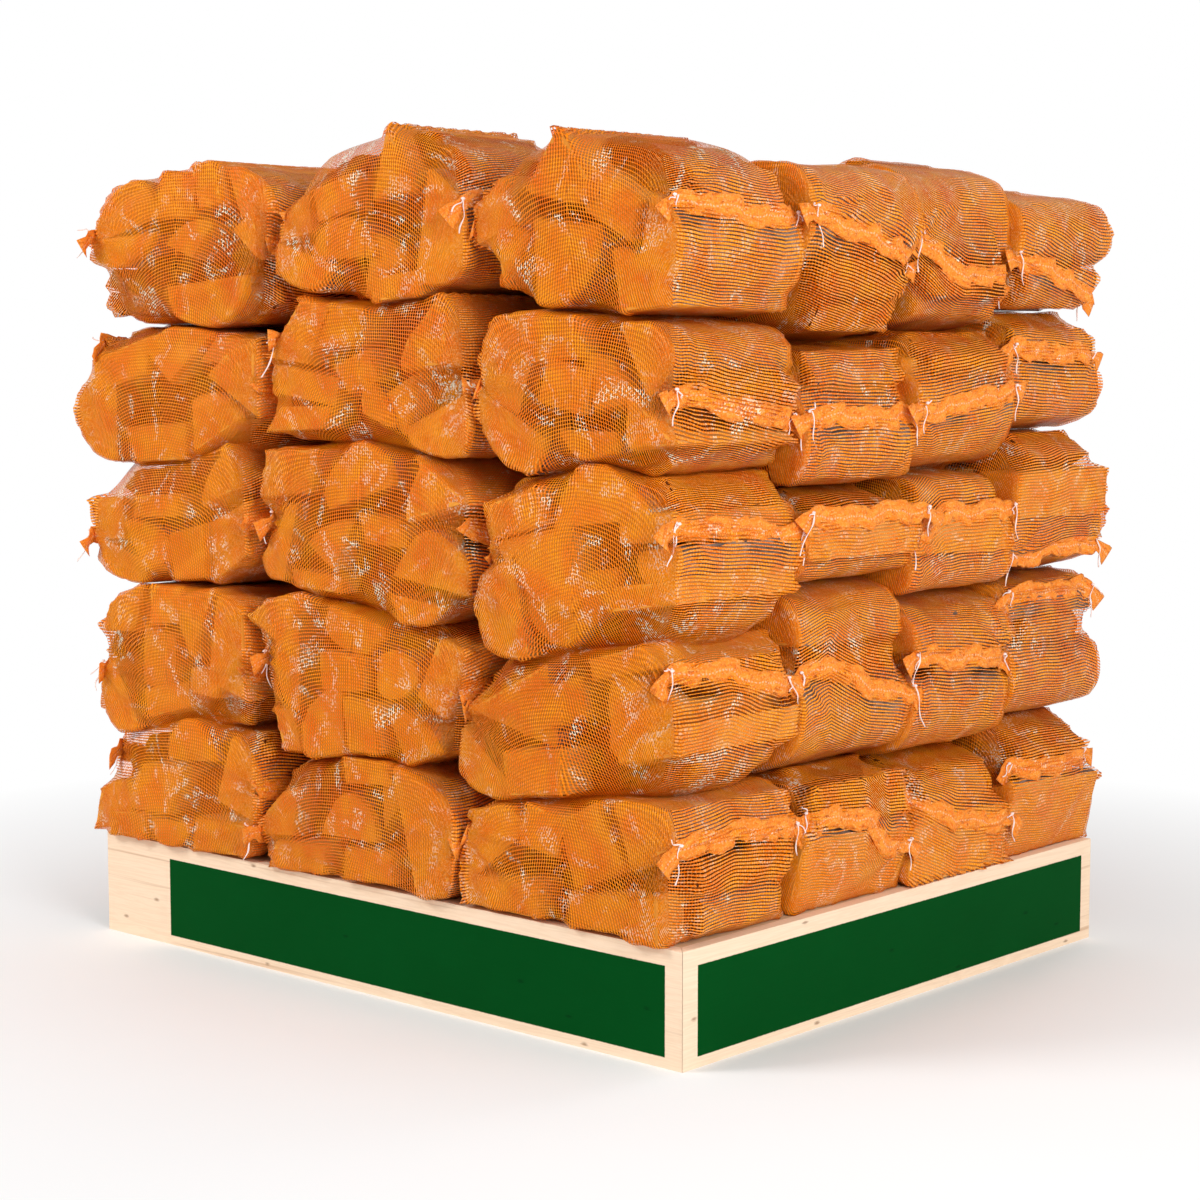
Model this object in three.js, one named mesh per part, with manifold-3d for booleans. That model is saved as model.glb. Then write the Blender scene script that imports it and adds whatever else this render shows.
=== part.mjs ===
// A pallet of split beech logs: sixty net bags, three wide, four deep and five
// high, on a low wooden base with a closed skirt. Millimetres, +Z up. The origin
// is the middle of the base's underside. The logs lie along Y, so their sawn ends
// look out at -Y and +Y and their long sides at -X and +X.
import * as THREE from 'three';
import { mergeVertices } from 'three/addons/utils/BufferGeometryUtils.js';
import Module from 'manifold-3d';

const wasm = await Module();
wasm.setup();

// Base
const BASE_LENGTH = 1200;
const BASE_DEPTH = 1000;
const BASE_HEIGHT = 158;
const BOARD = 18;
const BEARER_WIDTH = 100;
const BEARER_INSET = 70;
const TOUCH_GAP = 0.4;

// Bags
const COLUMNS = ['A', 'B', 'C'];
const LAYERS = 5;
const ROWS = [[-500, -252], [-248, 3], [7, 258], [262, 506]];
const FRONT = 0;
const BACK = ROWS.length - 1;
const BAG_FLOOR = BASE_HEIGHT + 1;
const SIDE_GAP = 4.5;
const END_BEVEL = 22;
const END_SHRINK = 0.9;
const END_STEP_MIN = 5;
const END_STEP = 11;
const END_ROOT = 30;
const LOG_KEEP_IN = 0.885;

// Finishes
const NET_ORANGE = { color: 0xe58a2b, roughness: 0.6, metalness: 0 };
const PINE = { color: 0xf6e0c4, roughness: 0.7, metalness: 0 };
const PLYWOOD = { color: 0xd9bd92, roughness: 0.75, metalness: 0 };

// Split logs by their end shape: the sharp or flat side's middle, the radius and
// the way that the bark side faces, in degrees from +X towards +Z
const wedge = (x, z, r, turn, spread) => ({ x, z, r, turn, spread });
const half = (x, z, r, turn) => wedge(x, z, r, turn, 180);
const quarter = (x, z, r, turn) => wedge(x, z, r, turn, 90);
const round = (x, z, r) => wedge(x, z, r, 0, 360);
const block = (x, z, w, h, turn) => ({ x, z, w, h, turn });

// What each bag of the front row holds, seen at its sawn ends
const FILLINGS = {
  A5: [half(-505, 1095, 88, 95), half(-510, 1085, 82, -100), block(-375, 1135, 100, 95, -10),
    block(-290, 1145, 62, 90, 12), quarter(-235, 1080, 95, 60), quarter(-335, 1000, 82, 105),
    half(-300, 968, 98, -85), wedge(-175, 1000, 95, 115, 60)],
  B5: [quarter(-90, 1110, 70, 140), block(-40, 1160, 80, 60, 10), half(-20, 1060, 68, 90),
    half(-95, 1075, 62, -115), wedge(5, 1005, 100, 50, 60), half(125, 1100, 88, -12),
    wedge(88, 1228, 100, -92, 66), block(75, 1015, 90, 36, 0)],
  C5: [quarter(300, 1090, 80, 145), wedge(268, 1010, 88, 68, 56), quarter(335, 1098, 118, -48),
    wedge(400, 1202, 92, -90, 84), block(478, 1120, 92, 64, -18), half(535, 1085, 62, -20),
    quarter(500, 985, 82, 62)],
  A4: [half(-585, 830, 76, 175), block(-565, 905, 120, 56, 14), quarter(-455, 880, 88, 100),
    wedge(-268, 800, 140, 118, 46), block(-345, 925, 120, 44, -4), block(-480, 790, 140, 56, 4),
    quarter(-385, 775, 84, 62)],
  B4: [block(-132, 938, 96, 84, -12), block(-32, 950, 82, 66, 8), block(12, 888, 86, 52, 30),
    quarter(205, 905, 96, 140), wedge(130, 895, 92, -128, 52), block(-98, 862, 140, 46, -12),
    block(-95, 815, 120, 34, -3), quarter(25, 815, 62, 48), half(165, 845, 66, -70)],
  C4: [half(335, 890, 82, 160), half(310, 830, 62, -110), block(385, 935, 100, 58, 4),
    block(405, 870, 76, 62, -18), quarter(445, 835, 82, 60), half(520, 915, 48, 20),
    half(440, 815, 48, -90), wedge(590, 815, 92, 168, 50)],
  A3: [block(-565, 690, 76, 76, 0), half(-530, 640, 64, -110), quarter(-478, 600, 92, 62),
    block(-360, 628, 88, 84, 0), block(-272, 625, 88, 96, 4), quarter(-245, 700, 84, 140),
    block(-430, 715, 110, 38, 0)],
  B3: [block(-165, 748, 120, 66, 4), half(-8, 728, 72, 112), block(45, 682, 92, 44, 10),
    wedge(222, 742, 128, 172, 34), quarter(-52, 612, 80, 112), half(-150, 645, 56, 170),
    half(150, 616, 78, 82), half(125, 604, 52, -90), block(-90, 592, 120, 26, 0)],
  C3: [half(440, 706, 74, 90), block(305, 718, 96, 58, 26), quarter(400, 700, 120, -122),
    half(322, 580, 74, 190), half(395, 620, 88, -88), block(518, 688, 80, 52, 8),
    round(548, 630, 34), block(520, 580, 110, 40, 8)],
  A2: [quarter(-520, 480, 84, 130), half(-545, 390, 62, 200), block(-445, 525, 84, 60, 8),
    wedge(-372, 432, 122, 90, 56), block(-465, 440, 80, 92, 0), block(-440, 372, 120, 44, 4),
    block(-285, 460, 88, 140, -8), block(-340, 395, 60, 44, 0)],
  B2: [half(-50, 562, 66, -90), quarter(-200, 500, 72, 110), half(-150, 470, 62, 180),
    block(-58, 470, 92, 56, 4), round(45, 484, 42), block(155, 490, 80, 84, -14),
    quarter(-62, 342, 106, 132), block(-8, 390, 78, 86, 0), quarter(105, 345, 88, 82),
    block(-200, 385, 50, 60, 0)],
  C2: [wedge(215, 446, 150, 14, 32), half(268, 378, 60, -130), block(362, 466, 100, 66, 12),
    block(345, 372, 106, 70, 8), quarter(545, 445, 104, 190), block(515, 395, 96, 44, 8),
    block(475, 512, 110, 34, 8)],
  A1: [quarter(-600, 175, 106, 55), block(-465, 255, 116, 80, -4), half(-405, 208, 44, -90),
    half(-385, 300, 58, 90), quarter(-315, 240, 96, 32), block(-285, 190, 130, 52, 0),
    block(-500, 190, 96, 50, 0)],
  B1: [quarter(-150, 215, 78, 130), half(-30, 225, 58, 90), block(15, 318, 110, 40, 4),
    half(105, 245, 82, 8), wedge(35, 240, 72, 70, 52), block(-130, 186, 120, 48, 0),
    block(15, 188, 100, 46, 3)],
  C1: [half(300, 250, 72, 130), block(375, 292, 80, 60, -18), block(472, 275, 96, 100, 18),
    quarter(540, 240, 80, 60), block(300, 190, 150, 50, 0), block(480, 190, 110, 48, 4)],
};

// Where the front row's bags meet: heights of the layers' cuts from left to right
const FRONT_CUTS = {
  A: [
    [[-600, 300], [-450, 340], [-380, 368], [-220, 360]],
    [[-600, 555], [-450, 565], [-300, 572], [-210, 600]],
    [[-640, 738], [-500, 745], [-400, 752], [-300, 785], [-230, 788]],
    [[-620, 962], [-400, 965], [-290, 952], [-200, 960]],
    [[-610, 1150], [-520, 1190], [-300, 1205], [-160, 1185]],
  ],
  B: [
    [[-240, 320], [-100, 328], [0, 350], [100, 342], [215, 325]],
    [[-240, 578], [-100, 575], [0, 560], [50, 540], [150, 545], [235, 562]],
    [[-235, 792], [0, 805], [100, 790], [200, 758], [240, 760]],
    [[-195, 985], [-140, 1008], [50, 988], [150, 1000], [240, 1002]],
    [[-170, 1165], [-60, 1200], [0, 1202], [90, 1240], [200, 1195], [235, 1160]],
  ],
  C: [
    [[190, 318], [250, 312], [450, 335], [550, 358], [610, 368]],
    [[235, 515], [280, 502], [400, 520], [500, 548], [610, 558]],
    [[240, 775], [360, 752], [450, 788], [520, 765], [610, 756]],
    [[245, 992], [300, 985], [500, 965], [610, 962]],
    [[210, 1165], [300, 1182], [400, 1212], [500, 1190], [610, 1168]],
  ],
};

// The columns' sides in the front row, from the base up, as height and place
const FRONT_SIDES = [
  [[158, -640], [250, -600], [330, -592], [410, -610], [480, -606], [560, -588], [640, -616],
    [740, -622], [820, -664], [900, -645], [980, -606], [1120, -604], [1240, -575]],
  [[158, -232], [270, -218], [340, -210], [430, -234], [500, -250], [570, -236], [650, -220],
    [740, -226], [820, -204], [930, -188], [1010, -162], [1240, -166]],
  [[158, 192], [250, 206], [340, 194], [440, 210], [520, 238], [640, 238],
    [760, 250], [850, 238], [1000, 243], [1150, 222], [1240, 226]],
  [[158, 598], [260, 610], [360, 598], [460, 610], [555, 600], [650, 610], [755, 598],
    [860, 611], [960, 600], [1080, 608], [1240, 570]],
];

// The layers' mean heights in the rows behind, and how far a cut waves
const REAR_LEVELS = [
  { A: [352, 566, 756, 968, 1182], B: [346, 558, 764, 970, 1192], C: [350, 600, 738, 940, 1180] },
  { A: [340, 560, 770, 960, 1190], B: [352, 566, 756, 962, 1196], C: [330, 576, 756, 948, 1188] },
  { C: [372, 590, 798, 978, 1172] },
];
const REAR_SIDES = [-606, -198, 204, 606];
const WAVE_HEIGHT = 9;
const WAVE_LENGTH = 62;

// A value read along a list of points
function along(points, at) {
  const last = points.length - 1;
  if (at <= points[0][0]) return points[0][1];
  if (at >= points[last][0]) return points[last][1];
  const i = points.findIndex((p) => p[0] > at);
  const [a, b] = [points[i - 1], points[i]];
  return a[1] + (b[1] - a[1]) * (at - a[0]) / (b[0] - a[0]);
}

// Height of a cut between layers. The back row's A and B columns mirror the front's C and B
function cutHeight(row, column, cut, x) {
  if (cut < 0) return BAG_FLOOR;
  const name = COLUMNS[column];
  if (row === FRONT) return along(FRONT_CUTS[name][cut], x);
  if (row === BACK && name !== 'C') return along(FRONT_CUTS[COLUMNS[2 - column]][cut], -x);
  const wave = Math.sin(x / WAVE_LENGTH + 2 * row + 1.7 * cut + column);
  return REAR_LEVELS[row - 1][name][cut] + WAVE_HEIGHT * wave;
}

// Place of a column's side at a height
function sidePlace(row, side, z) {
  if (row === FRONT) return along(FRONT_SIDES[side], z);
  if (row === BACK && side < 3) return -along(FRONT_SIDES[3 - side], z);
  const wave = Math.sin(z / WAVE_LENGTH + 3 * row + 2 * side);
  return REAR_SIDES[side] + WAVE_HEIGHT * wave;
}

// A bag's outline: a rounded box of points, each led to its place between its cuts and sides
const OUTLINE = [[1, 0.42], [0.8, 0.92], [0.3, 1], [-0.3, 1], [-0.8, 0.92], [-1, 0.42],
  [-1, -0.42], [-0.8, -0.92], [-0.3, -1], [0.3, -1], [0.8, -0.92], [1, -0.42]];

const SETTLE_STEPS = 6;

function placeInCell(row, column, layer, u, v, press) {
  const mix = (a, b, t) => a + (b - a) * t;
  let x = mix(REAR_SIDES[column], REAR_SIDES[column + 1], (u + 1) / 2);
  let z = 0;
  for (let step = 0; step < SETTLE_STEPS; step += 1) {
    const bottom = cutHeight(row, column, layer - 1, x) + (layer === 0 ? SIDE_GAP : press);
    const top = cutHeight(row, column, layer, x) - press;
    z = mix(bottom, top, (v + 1) / 2);
    const left = sidePlace(row, column, z) + SIDE_GAP;
    const right = sidePlace(row, column + 1, z) - SIDE_GAP;
    x = mix(left, right, (u + 1) / 2);
  }
  return [x, z];
}

function outline(row, column, layer, size = 1, press = SIDE_GAP) {
  return OUTLINE.map(([u, v]) => placeInCell(row, column, layer, u * size, v * size, press));
}

// Solids
function toManifold(geometry) {
  const plain = geometry.clone();
  plain.deleteAttribute('normal');
  plain.deleteAttribute('uv');
  const merged = mergeVertices(plain, 1e-4);
  const vertProperties = Float32Array.from(merged.attributes.position.array);
  const triVerts = Uint32Array.from(merged.index.array);
  return new wasm.Manifold(new wasm.Mesh({ numProp: 3, vertProperties, triVerts }));
}

function toGeometry(solid) {
  const mesh = solid.getMesh();
  const geometry = new THREE.BufferGeometry();
  geometry.setAttribute('position', new THREE.BufferAttribute(Float32Array.from(mesh.vertProperties), 3));
  geometry.setIndex(new THREE.BufferAttribute(Uint32Array.from(mesh.triVerts), 1));
  return geometry;
}

// A closed skin over rings of [x, z] points, one at each place along Y
function loft(stations) {
  const count = stations[0].ring.length;
  const points = stations.flatMap(({ y, ring }) => ring.flatMap(([x, z]) => [x, y, z]));
  const faces = [];
  for (let s = 0; s + 1 < stations.length; s += 1) {
    for (let i = 0; i < count; i += 1) {
      const a = s * count + i;
      const b = s * count + (i + 1) % count;
      faces.push(a, a + count, b, b, a + count, b + count);
    }
  }
  const caps = [[0, false], [stations.length - 1, true]];
  for (const [s, flip] of caps) {
    const flat = stations[s].ring.map(([x, z]) => new THREE.Vector2(x, z));
    for (const [a, b, c] of THREE.ShapeUtils.triangulateShape(flat, [])) {
      const [p, q, r] = [a, b, c].map((k) => s * count + k);
      faces.push(...(flip ? [p, r, q] : [p, q, r]));
    }
  }
  const geometry = new THREE.BufferGeometry();
  geometry.setAttribute('position', new THREE.Float32BufferAttribute(points, 3));
  geometry.setIndex(faces);
  return geometry;
}

// A straight bar along Y over an [x, z] outline
function bar(ring, y0, y1) {
  const shape = new THREE.Shape(ring.map(([x, z]) => new THREE.Vector2(x, z)));
  const geometry = new THREE.ExtrudeGeometry(shape, { depth: y1 - y0, bevelEnabled: false, steps: 1 });
  geometry.rotateX(Math.PI / 2);
  geometry.translate(0, y1, 0);
  return geometry;
}

// A log's end outline
const ARC_STEP = 60;

function logOutline(log) {
  const turn = THREE.MathUtils.degToRad(log.turn);
  if (log.w) {
    return [[-1, -1], [1, -1], [1, 1], [-1, 1]].map(([i, k]) => [
      log.x + (i * log.w * Math.cos(turn) - k * log.h * Math.sin(turn)) / 2,
      log.z + (i * log.w * Math.sin(turn) + k * log.h * Math.cos(turn)) / 2,
    ]);
  }
  const steps = Math.max(2, Math.round(log.spread / ARC_STEP));
  const whole = log.spread === 360;
  const ring = log.spread < 180 ? [[log.x, log.z]] : [];
  for (let i = 0; i <= steps - (whole ? 1 : 0); i += 1) {
    const angle = turn + THREE.MathUtils.degToRad(log.spread * (i / steps - 0.5));
    ring.push([log.x + log.r * Math.cos(angle), log.z + log.r * Math.sin(angle)]);
  }
  return ring;
}

// The box that a bag's cell fills, for fitting another bag's logs into it
function cellBox(row, column, layer) {
  const ring = outline(row, column, layer);
  const xs = ring.map((p) => p[0]);
  const zs = ring.map((p) => p[1]);
  return { x0: Math.min(...xs), x1: Math.max(...xs), z0: Math.min(...zs), z1: Math.max(...zs) };
}

// A rear bag holds the logs of a front bag, mirrored and fitted to its own cell
function logsIn(row, column, layer) {
  if (row === FRONT) return FILLINGS[COLUMNS[column] + (layer + 1)];
  const fromColumn = 2 - column;
  const from = cellBox(FRONT, fromColumn, layer);
  const to = cellBox(row, column, layer);
  const scaleX = (to.x1 - to.x0) / (from.x1 - from.x0);
  const scaleZ = (to.z1 - to.z0) / (from.z1 - from.z0);
  const scale = Math.min(scaleX, scaleZ);
  return FILLINGS[COLUMNS[fromColumn] + (layer + 1)].map((log) => ({
    ...log,
    x: to.x1 - (log.x - from.x0) * scaleX,
    z: to.z0 + (log.z - from.z0) * scaleZ,
    turn: log.w ? -log.turn : 180 - log.turn,
    r: log.r * scale,
    w: log.w && log.w * scale,
    h: log.h && log.h * scale,
  }));
}

// One bag: a rounded body with its logs' ends standing out of the end that shows.
// The back shows fewer of them
const BACK_LOGS = 5;

function bagSolid(row, column, layer, press = SIDE_GAP) {
  const [y0, y1] = ROWS[row];
  const wide = outline(row, column, layer, 1, press);
  const small = outline(row, column, layer, END_SHRINK, press);
  let solid = toManifold(loft([
    { y: y0, ring: small },
    { y: y0 + END_BEVEL, ring: wide },
    { y: y1 - END_BEVEL, ring: wide },
    { y: y1, ring: small },
  ]));
  if (row !== FRONT && row !== BACK) return solid;
  const outward = row === FRONT ? -1 : 1;
  const face = row === FRONT ? y0 : y1;
  const reach = 2 * END_STEP + END_STEP_MIN;
  const inside = outline(row, column, layer, LOG_KEEP_IN);
  const room = toManifold(bar(inside, Math.min(face, face + outward * reach) - END_ROOT,
    Math.max(face, face + outward * reach) + END_ROOT));
  const shown = logsIn(row, column, layer).slice(0, row === BACK ? BACK_LOGS : undefined);
  shown.forEach((log, i) => {
    const out = END_STEP_MIN + END_STEP * ((i * 5) % 4) / 3;
    const ends = [face + outward * out, face - outward * END_ROOT].sort((a, b) => a - b);
    const end = toManifold(bar(logOutline(log), ...ends)).intersect(room);
    solid = solid.add(end);
  });
  return solid;
}

// Wooden base: four mitred skirt boards, a deck sheet and three bearers
function skirtBoard(length) {
  const shape = new THREE.Shape();
  shape.moveTo(-length / 2 + TOUCH_GAP, 0);
  shape.lineTo(length / 2 - TOUCH_GAP, 0);
  shape.lineTo(length / 2 - BOARD - TOUCH_GAP, BOARD);
  shape.lineTo(-length / 2 + BOARD + TOUCH_GAP, BOARD);
  return new THREE.ExtrudeGeometry(shape, { depth: BASE_HEIGHT, bevelEnabled: false });
}

function mesh(name, geometry, finish) {
  const part = new THREE.Mesh(geometry, new THREE.MeshStandardMaterial(finish));
  part.name = name;
  return part;
}

const group = new THREE.Group();

const sides = [
  ['skirt_front', BASE_LENGTH, 0, -BASE_DEPTH / 2, 0],
  ['skirt_right', BASE_DEPTH, BASE_LENGTH / 2, 0, 90],
  ['skirt_back', BASE_LENGTH, 0, BASE_DEPTH / 2, 180],
  ['skirt_left', BASE_DEPTH, -BASE_LENGTH / 2, 0, 270],
];
for (const [name, length, x, y, turn] of sides) {
  const board = mesh(name, skirtBoard(length), PINE);
  board.position.set(x, y, 0);
  board.rotation.z = THREE.MathUtils.degToRad(turn);
  group.add(board);
}

const deckLength = BASE_LENGTH - 2 * (BOARD + TOUCH_GAP);
const deckDepth = BASE_DEPTH - 2 * (BOARD + TOUCH_GAP);
const deck = mesh('pallet_deck', new THREE.BoxGeometry(deckLength, deckDepth, BOARD), PLYWOOD);
deck.position.z = BASE_HEIGHT - BOARD / 2;
group.add(deck);

const bearerHeight = BASE_HEIGHT - BOARD - TOUCH_GAP;
const bearerShift = BASE_LENGTH / 2 - BEARER_INSET;
[['bearer_left', -bearerShift], ['bearer_middle', 0], ['bearer_right', bearerShift]].forEach(([name, x]) => {
  const bearer = mesh(name, new THREE.BoxGeometry(BEARER_WIDTH, deckDepth, bearerHeight), PINE);
  bearer.position.set(x, 0, bearerHeight / 2);
  group.add(bearer);
});

// Bags that show are a piece each. The two inner stacks never show but at the top
const PRESSED = -1;
for (let row = 0; row < ROWS.length; row += 1) {
  for (let column = 0; column < COLUMNS.length; column += 1) {
    const inner = column === 1 && row !== FRONT && row !== BACK;
    if (inner) {
      let stack = bagSolid(row, column, 0, PRESSED);
      for (let layer = 1; layer < LAYERS; layer += 1) {
        stack = stack.add(bagSolid(row, column, layer, PRESSED));
      }
      group.add(mesh(`inner_bags_row${row + 1}`, toGeometry(stack), NET_ORANGE));
      continue;
    }
    for (let layer = 0; layer < LAYERS; layer += 1) {
      const name = `log_bag_${COLUMNS[column]}${layer + 1}_row${row + 1}`;
      group.add(mesh(name, toGeometry(bagSolid(row, column, layer)), NET_ORANGE));
    }
  }
}

export default group;
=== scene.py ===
import math
import random

import bpy
import numpy as np
from mathutils import Matrix, Vector
from mathutils.bvhtree import BVHTree


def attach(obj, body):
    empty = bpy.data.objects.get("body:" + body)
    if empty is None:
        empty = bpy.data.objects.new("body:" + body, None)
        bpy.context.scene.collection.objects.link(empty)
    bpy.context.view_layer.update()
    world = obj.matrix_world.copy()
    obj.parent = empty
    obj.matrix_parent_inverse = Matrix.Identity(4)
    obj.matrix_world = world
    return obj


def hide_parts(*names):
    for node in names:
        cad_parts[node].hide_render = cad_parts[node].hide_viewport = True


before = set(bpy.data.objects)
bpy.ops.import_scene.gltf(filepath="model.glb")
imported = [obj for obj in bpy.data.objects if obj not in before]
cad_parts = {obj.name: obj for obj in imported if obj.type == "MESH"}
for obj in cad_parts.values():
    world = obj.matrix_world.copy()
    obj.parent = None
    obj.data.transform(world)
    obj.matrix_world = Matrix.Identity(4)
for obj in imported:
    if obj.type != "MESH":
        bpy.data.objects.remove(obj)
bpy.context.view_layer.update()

MM = 0.001

# Base, and where the green panels end on the front and right skirt boards
BASE_LENGTH = 1200 * MM
BASE_DEPTH = 1000 * MM
PANEL_LOW = 15 * MM
PANEL_HIGH = 136 * MM
FRONT_PANEL = (-442 * MM, 571 * MM)
RIGHT_PANEL = (-469 * MM, 473 * MM)

# Bags, in the same places as the frame's nodes
COLUMNS = "ABC"
LAYERS = 5
ROWS = [(-500, -252), (-248, 3), (7, 258), (262, 506)]
FRONT = 0
BACK = 3
BAG_FLOOR = 159
SIDE_GAP = 4.5
LOG_LENGTH = 250
END_STEP_LEAST = 5
END_STEP = 11
NET_CUTS = 31
INNER_NET_CUTS = 15
RELAX_STEPS = 240
THREAD_PITCH = 4.9 * MM

# Studio: the lights' names, places, aims, sizes and powers
CAMERA_TURN = 41.9
CAMERA_LIFT = 5.76
CAMERA_DISTANCE = 3.92
CAMERA_AIM = (0.0052, 0.0047, 0.533)
CAMERA_SENSOR = 36
CAMERA_LENS = 74.8
LIGHTS = [
    ("key", (-2.2, -3.6, 3.2), (0, 0, 0.6), 1.6, 128),
    ("fill", (4.2, -1.6, 2.0), (0, 0, 0.6), 2.0, 126),
    ("rim", (0.5, 2.8, 3.6), (0, 0, 0.8), 2.4, 40),
]
DOME_STRENGTH = 0.42
FLOOR_SIZE = 40
FLOOR_EDGE = 1.25
FLOOR_FADE = 1.1


def put_in_scene(name, data):
    item = bpy.data.objects.new(name, data)
    bpy.context.scene.collection.objects.link(item)
    return item


# Camera and lights
def add_camera():
    turn = math.radians(CAMERA_TURN)
    lift = math.radians(CAMERA_LIFT)
    away = Vector((math.sin(turn) * math.cos(lift), -math.cos(turn) * math.cos(lift), math.sin(lift)))
    camera = put_in_scene("camera", bpy.data.cameras.new("camera"))
    camera.data.sensor_width = CAMERA_SENSOR
    camera.data.lens = CAMERA_LENS
    camera.location = Vector(CAMERA_AIM) + away * CAMERA_DISTANCE
    camera.rotation_euler = away.to_track_quat("Z", "Y").to_euler()
    bpy.context.scene.camera = camera


def add_lights():
    bpy.context.scene.view_settings.view_transform = "Standard"
    for name, place, aim, size, power in LIGHTS:
        light = put_in_scene(name, bpy.data.lights.new(name, "AREA"))
        light.data.size = size
        light.data.energy = power
        light.location = place
        light.rotation_euler = (Vector(place) - Vector(aim)).to_track_quat("Z", "Y").to_euler()


# Shader expressions
class Value:
    """A socket that takes part in sums and products."""

    def __init__(self, board, socket):
        self.board = board
        self.socket = socket

    def math(self, operation, *others):
        return self.board.node("ShaderNodeMath", {"operation": operation}, [self, *others])

    def __add__(self, other):
        return self.math("ADD", other)

    __radd__ = __add__

    def __mul__(self, other):
        return self.math("MULTIPLY", other)

    __rmul__ = __mul__

    def __sub__(self, other):
        return self.math("SUBTRACT", other)

    def __rsub__(self, other):
        return self.board.node("ShaderNodeMath", {"operation": "SUBTRACT"}, [other, self])

    def __truediv__(self, other):
        return self.math("DIVIDE", other)

    def clamp(self):
        return self.math("MAXIMUM", 0.0).math("MINIMUM", 1.0)

    def step(self, edge, soft):
        """0 below the edge and 1 above it, over a soft width."""
        return ((self - edge) * (1.0 / soft) + 0.5).clamp()

    def wave(self):
        """0 on whole numbers and 1 halfway between them."""
        return self.math("PINGPONG", 0.5) * 2.0


class Board:
    """One material's nodes."""

    def __init__(self, name):
        self.material = bpy.data.materials.new(name)
        self.material.use_nodes = True
        self.tree = self.material.node_tree
        self.tree.nodes.clear()

    def node(self, kind, settings, inputs, output=0):
        node = self.tree.nodes.new(kind)
        for key, value in settings.items():
            setattr(node, key, value)
        pairs = inputs.items() if isinstance(inputs, dict) else enumerate(inputs)
        for key, value in pairs:
            if isinstance(value, Value):
                self.tree.links.new(value.socket, node.inputs[key])
            else:
                node.inputs[key].default_value = value
        return Value(self, node.outputs[output])

    def place(self, scale=(1, 1, 1)):
        """Object coordinates, stretched."""
        where = self.node("ShaderNodeTexCoord", {}, {}, "Object")
        return self.node("ShaderNodeMapping", {}, {"Vector": where, "Scale": scale})

    def attribute(self, name, output):
        return self.node("ShaderNodeAttribute", {"attribute_name": name}, {}, output)

    def threads(self):
        """The piece's own map, which follows its threads."""
        return self.node("ShaderNodeUVMap", {"uv_map": "threads"}, {})

    def parts(self, vector):
        return [self.node("ShaderNodeSeparateXYZ", {}, [vector], i) for i in range(3)]

    def noise(self, vector, scale, detail=2.0, rough=0.5, warp=0.0):
        values = {"Vector": vector, "Scale": scale, "Detail": detail, "Roughness": rough,
                  "Distortion": warp}
        return self.node("ShaderNodeTexNoise", {}, values, "Fac")

    def colour(self, factor, low, high):
        """Between two colours."""
        values = {0: factor, 6: (*low, 1) if isinstance(low, tuple) else low,
                  7: (*high, 1) if isinstance(high, tuple) else high}
        return self.node("ShaderNodeMix", {"data_type": "RGBA"}, values, 2)

    def bump(self, height, strength, distance):
        values = {"Height": height, "Strength": strength, "Distance": distance}
        return self.node("ShaderNodeBump", {}, values)

    def surface(self, **sockets):
        values = {key.replace("_", " "): value for key, value in sockets.items()}
        return self.finish(self.node("ShaderNodeBsdfPrincipled", {}, values, "BSDF"))

    def finish(self, shader):
        """The material, with this shader as its surface."""
        out = self.tree.nodes.new("ShaderNodeOutputMaterial")
        self.tree.links.new(shader.socket, out.inputs["Surface"])
        return self.material


# Net, hem and string
def net_material():
    """Knitted tape net: hoops round the bag and thinner chains across them, open between."""
    board = Board("orange net")
    hoop_place, chain_place, _ = board.parts(board.threads())
    where = board.place()
    sway = board.noise(where, 9.0, 1.0)
    patches = board.noise(where, 3.2, 1.0)
    fuzz = board.noise(where, 420.0, 0.0)
    bridging = board.attribute("bridging", "Fac")
    hoops = (hoop_place / THREAD_PITCH + sway * 2.6).wave()
    chains = (chain_place / THREAD_PITCH + sway * 0.9).wave()
    slack = board.attribute("slack", "Fac")
    gathered = board.attribute("gathered", "Fac")
    hoop_width = 0.35 + patches * 0.14 - bridging * 0.15 + fuzz * 0.12 - slack * 0.28 + gathered * 0.13
    chain_width = 0.66 + fuzz * 0.14 - bridging * 0.02 + slack * 0.2 + gathered * 0.16
    hoop_cover = (hoops * -1.0 + 1.0).step(1.0 - hoop_width, 0.22)
    chain_cover = (chains * -1.0 + 1.0).step(chain_width, 0.2) * 0.9
    cover = hoop_cover.math("MAXIMUM", chain_cover)
    tone = board.noise(where, 26.0, 1.0)
    deep = board.colour(patches.step(0.5, 0.5), (0.84, 0.135, 0.001), (0.95, 0.22, 0.001))
    lit = board.colour((tone.step(0.5, 0.4) * 0.62 - bridging * 0.15).clamp(), deep, (1.0, 0.40, 0.006))
    # Painted highlight: pale flecks on the threads, more of them where the net is gathered towards the hems
    lit = board.colour(fuzz.step(0.56, 0.2) * (gathered * 0.42 + 0.08), lit, (1.0, 0.52, 0.17))
    # Painted shade: the net's colour darkens towards the thread edges and the openings between them, as the
    # threads' own shadow
    between = hoops.math("MAXIMUM", chains * 0.8).step(0.55, 0.5)
    lit = board.colour(between * 0.42, lit, (0.50, 0.062, 0.001))
    ridge = (1.0 - hoops) + (1.0 - chains) * 0.6
    relief = board.bump(ridge, 0.5, 0.0012)
    # Painted glints: pale specks gathered in streaky bands, stronger where the net spans gaps, standing in
    # for highlights on the shiny tape
    streaks = board.noise(where, 12.0, 1.0, 0.5, 2.6).step(0.615, 0.12)
    painted_glint = board.noise(where, 300.0, 0.0).step(0.54, 0.07) * streaks
    lit = board.colour((painted_glint * (bridging * 0.6 + 0.35)).clamp(), lit, (1.0, 0.84, 0.62))
    return board.surface(Base_Color=lit, Roughness=0.4 - bridging * 0.1, Alpha=cover, Normal=relief,
                         Specular_IOR_Level=0.08)


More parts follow.
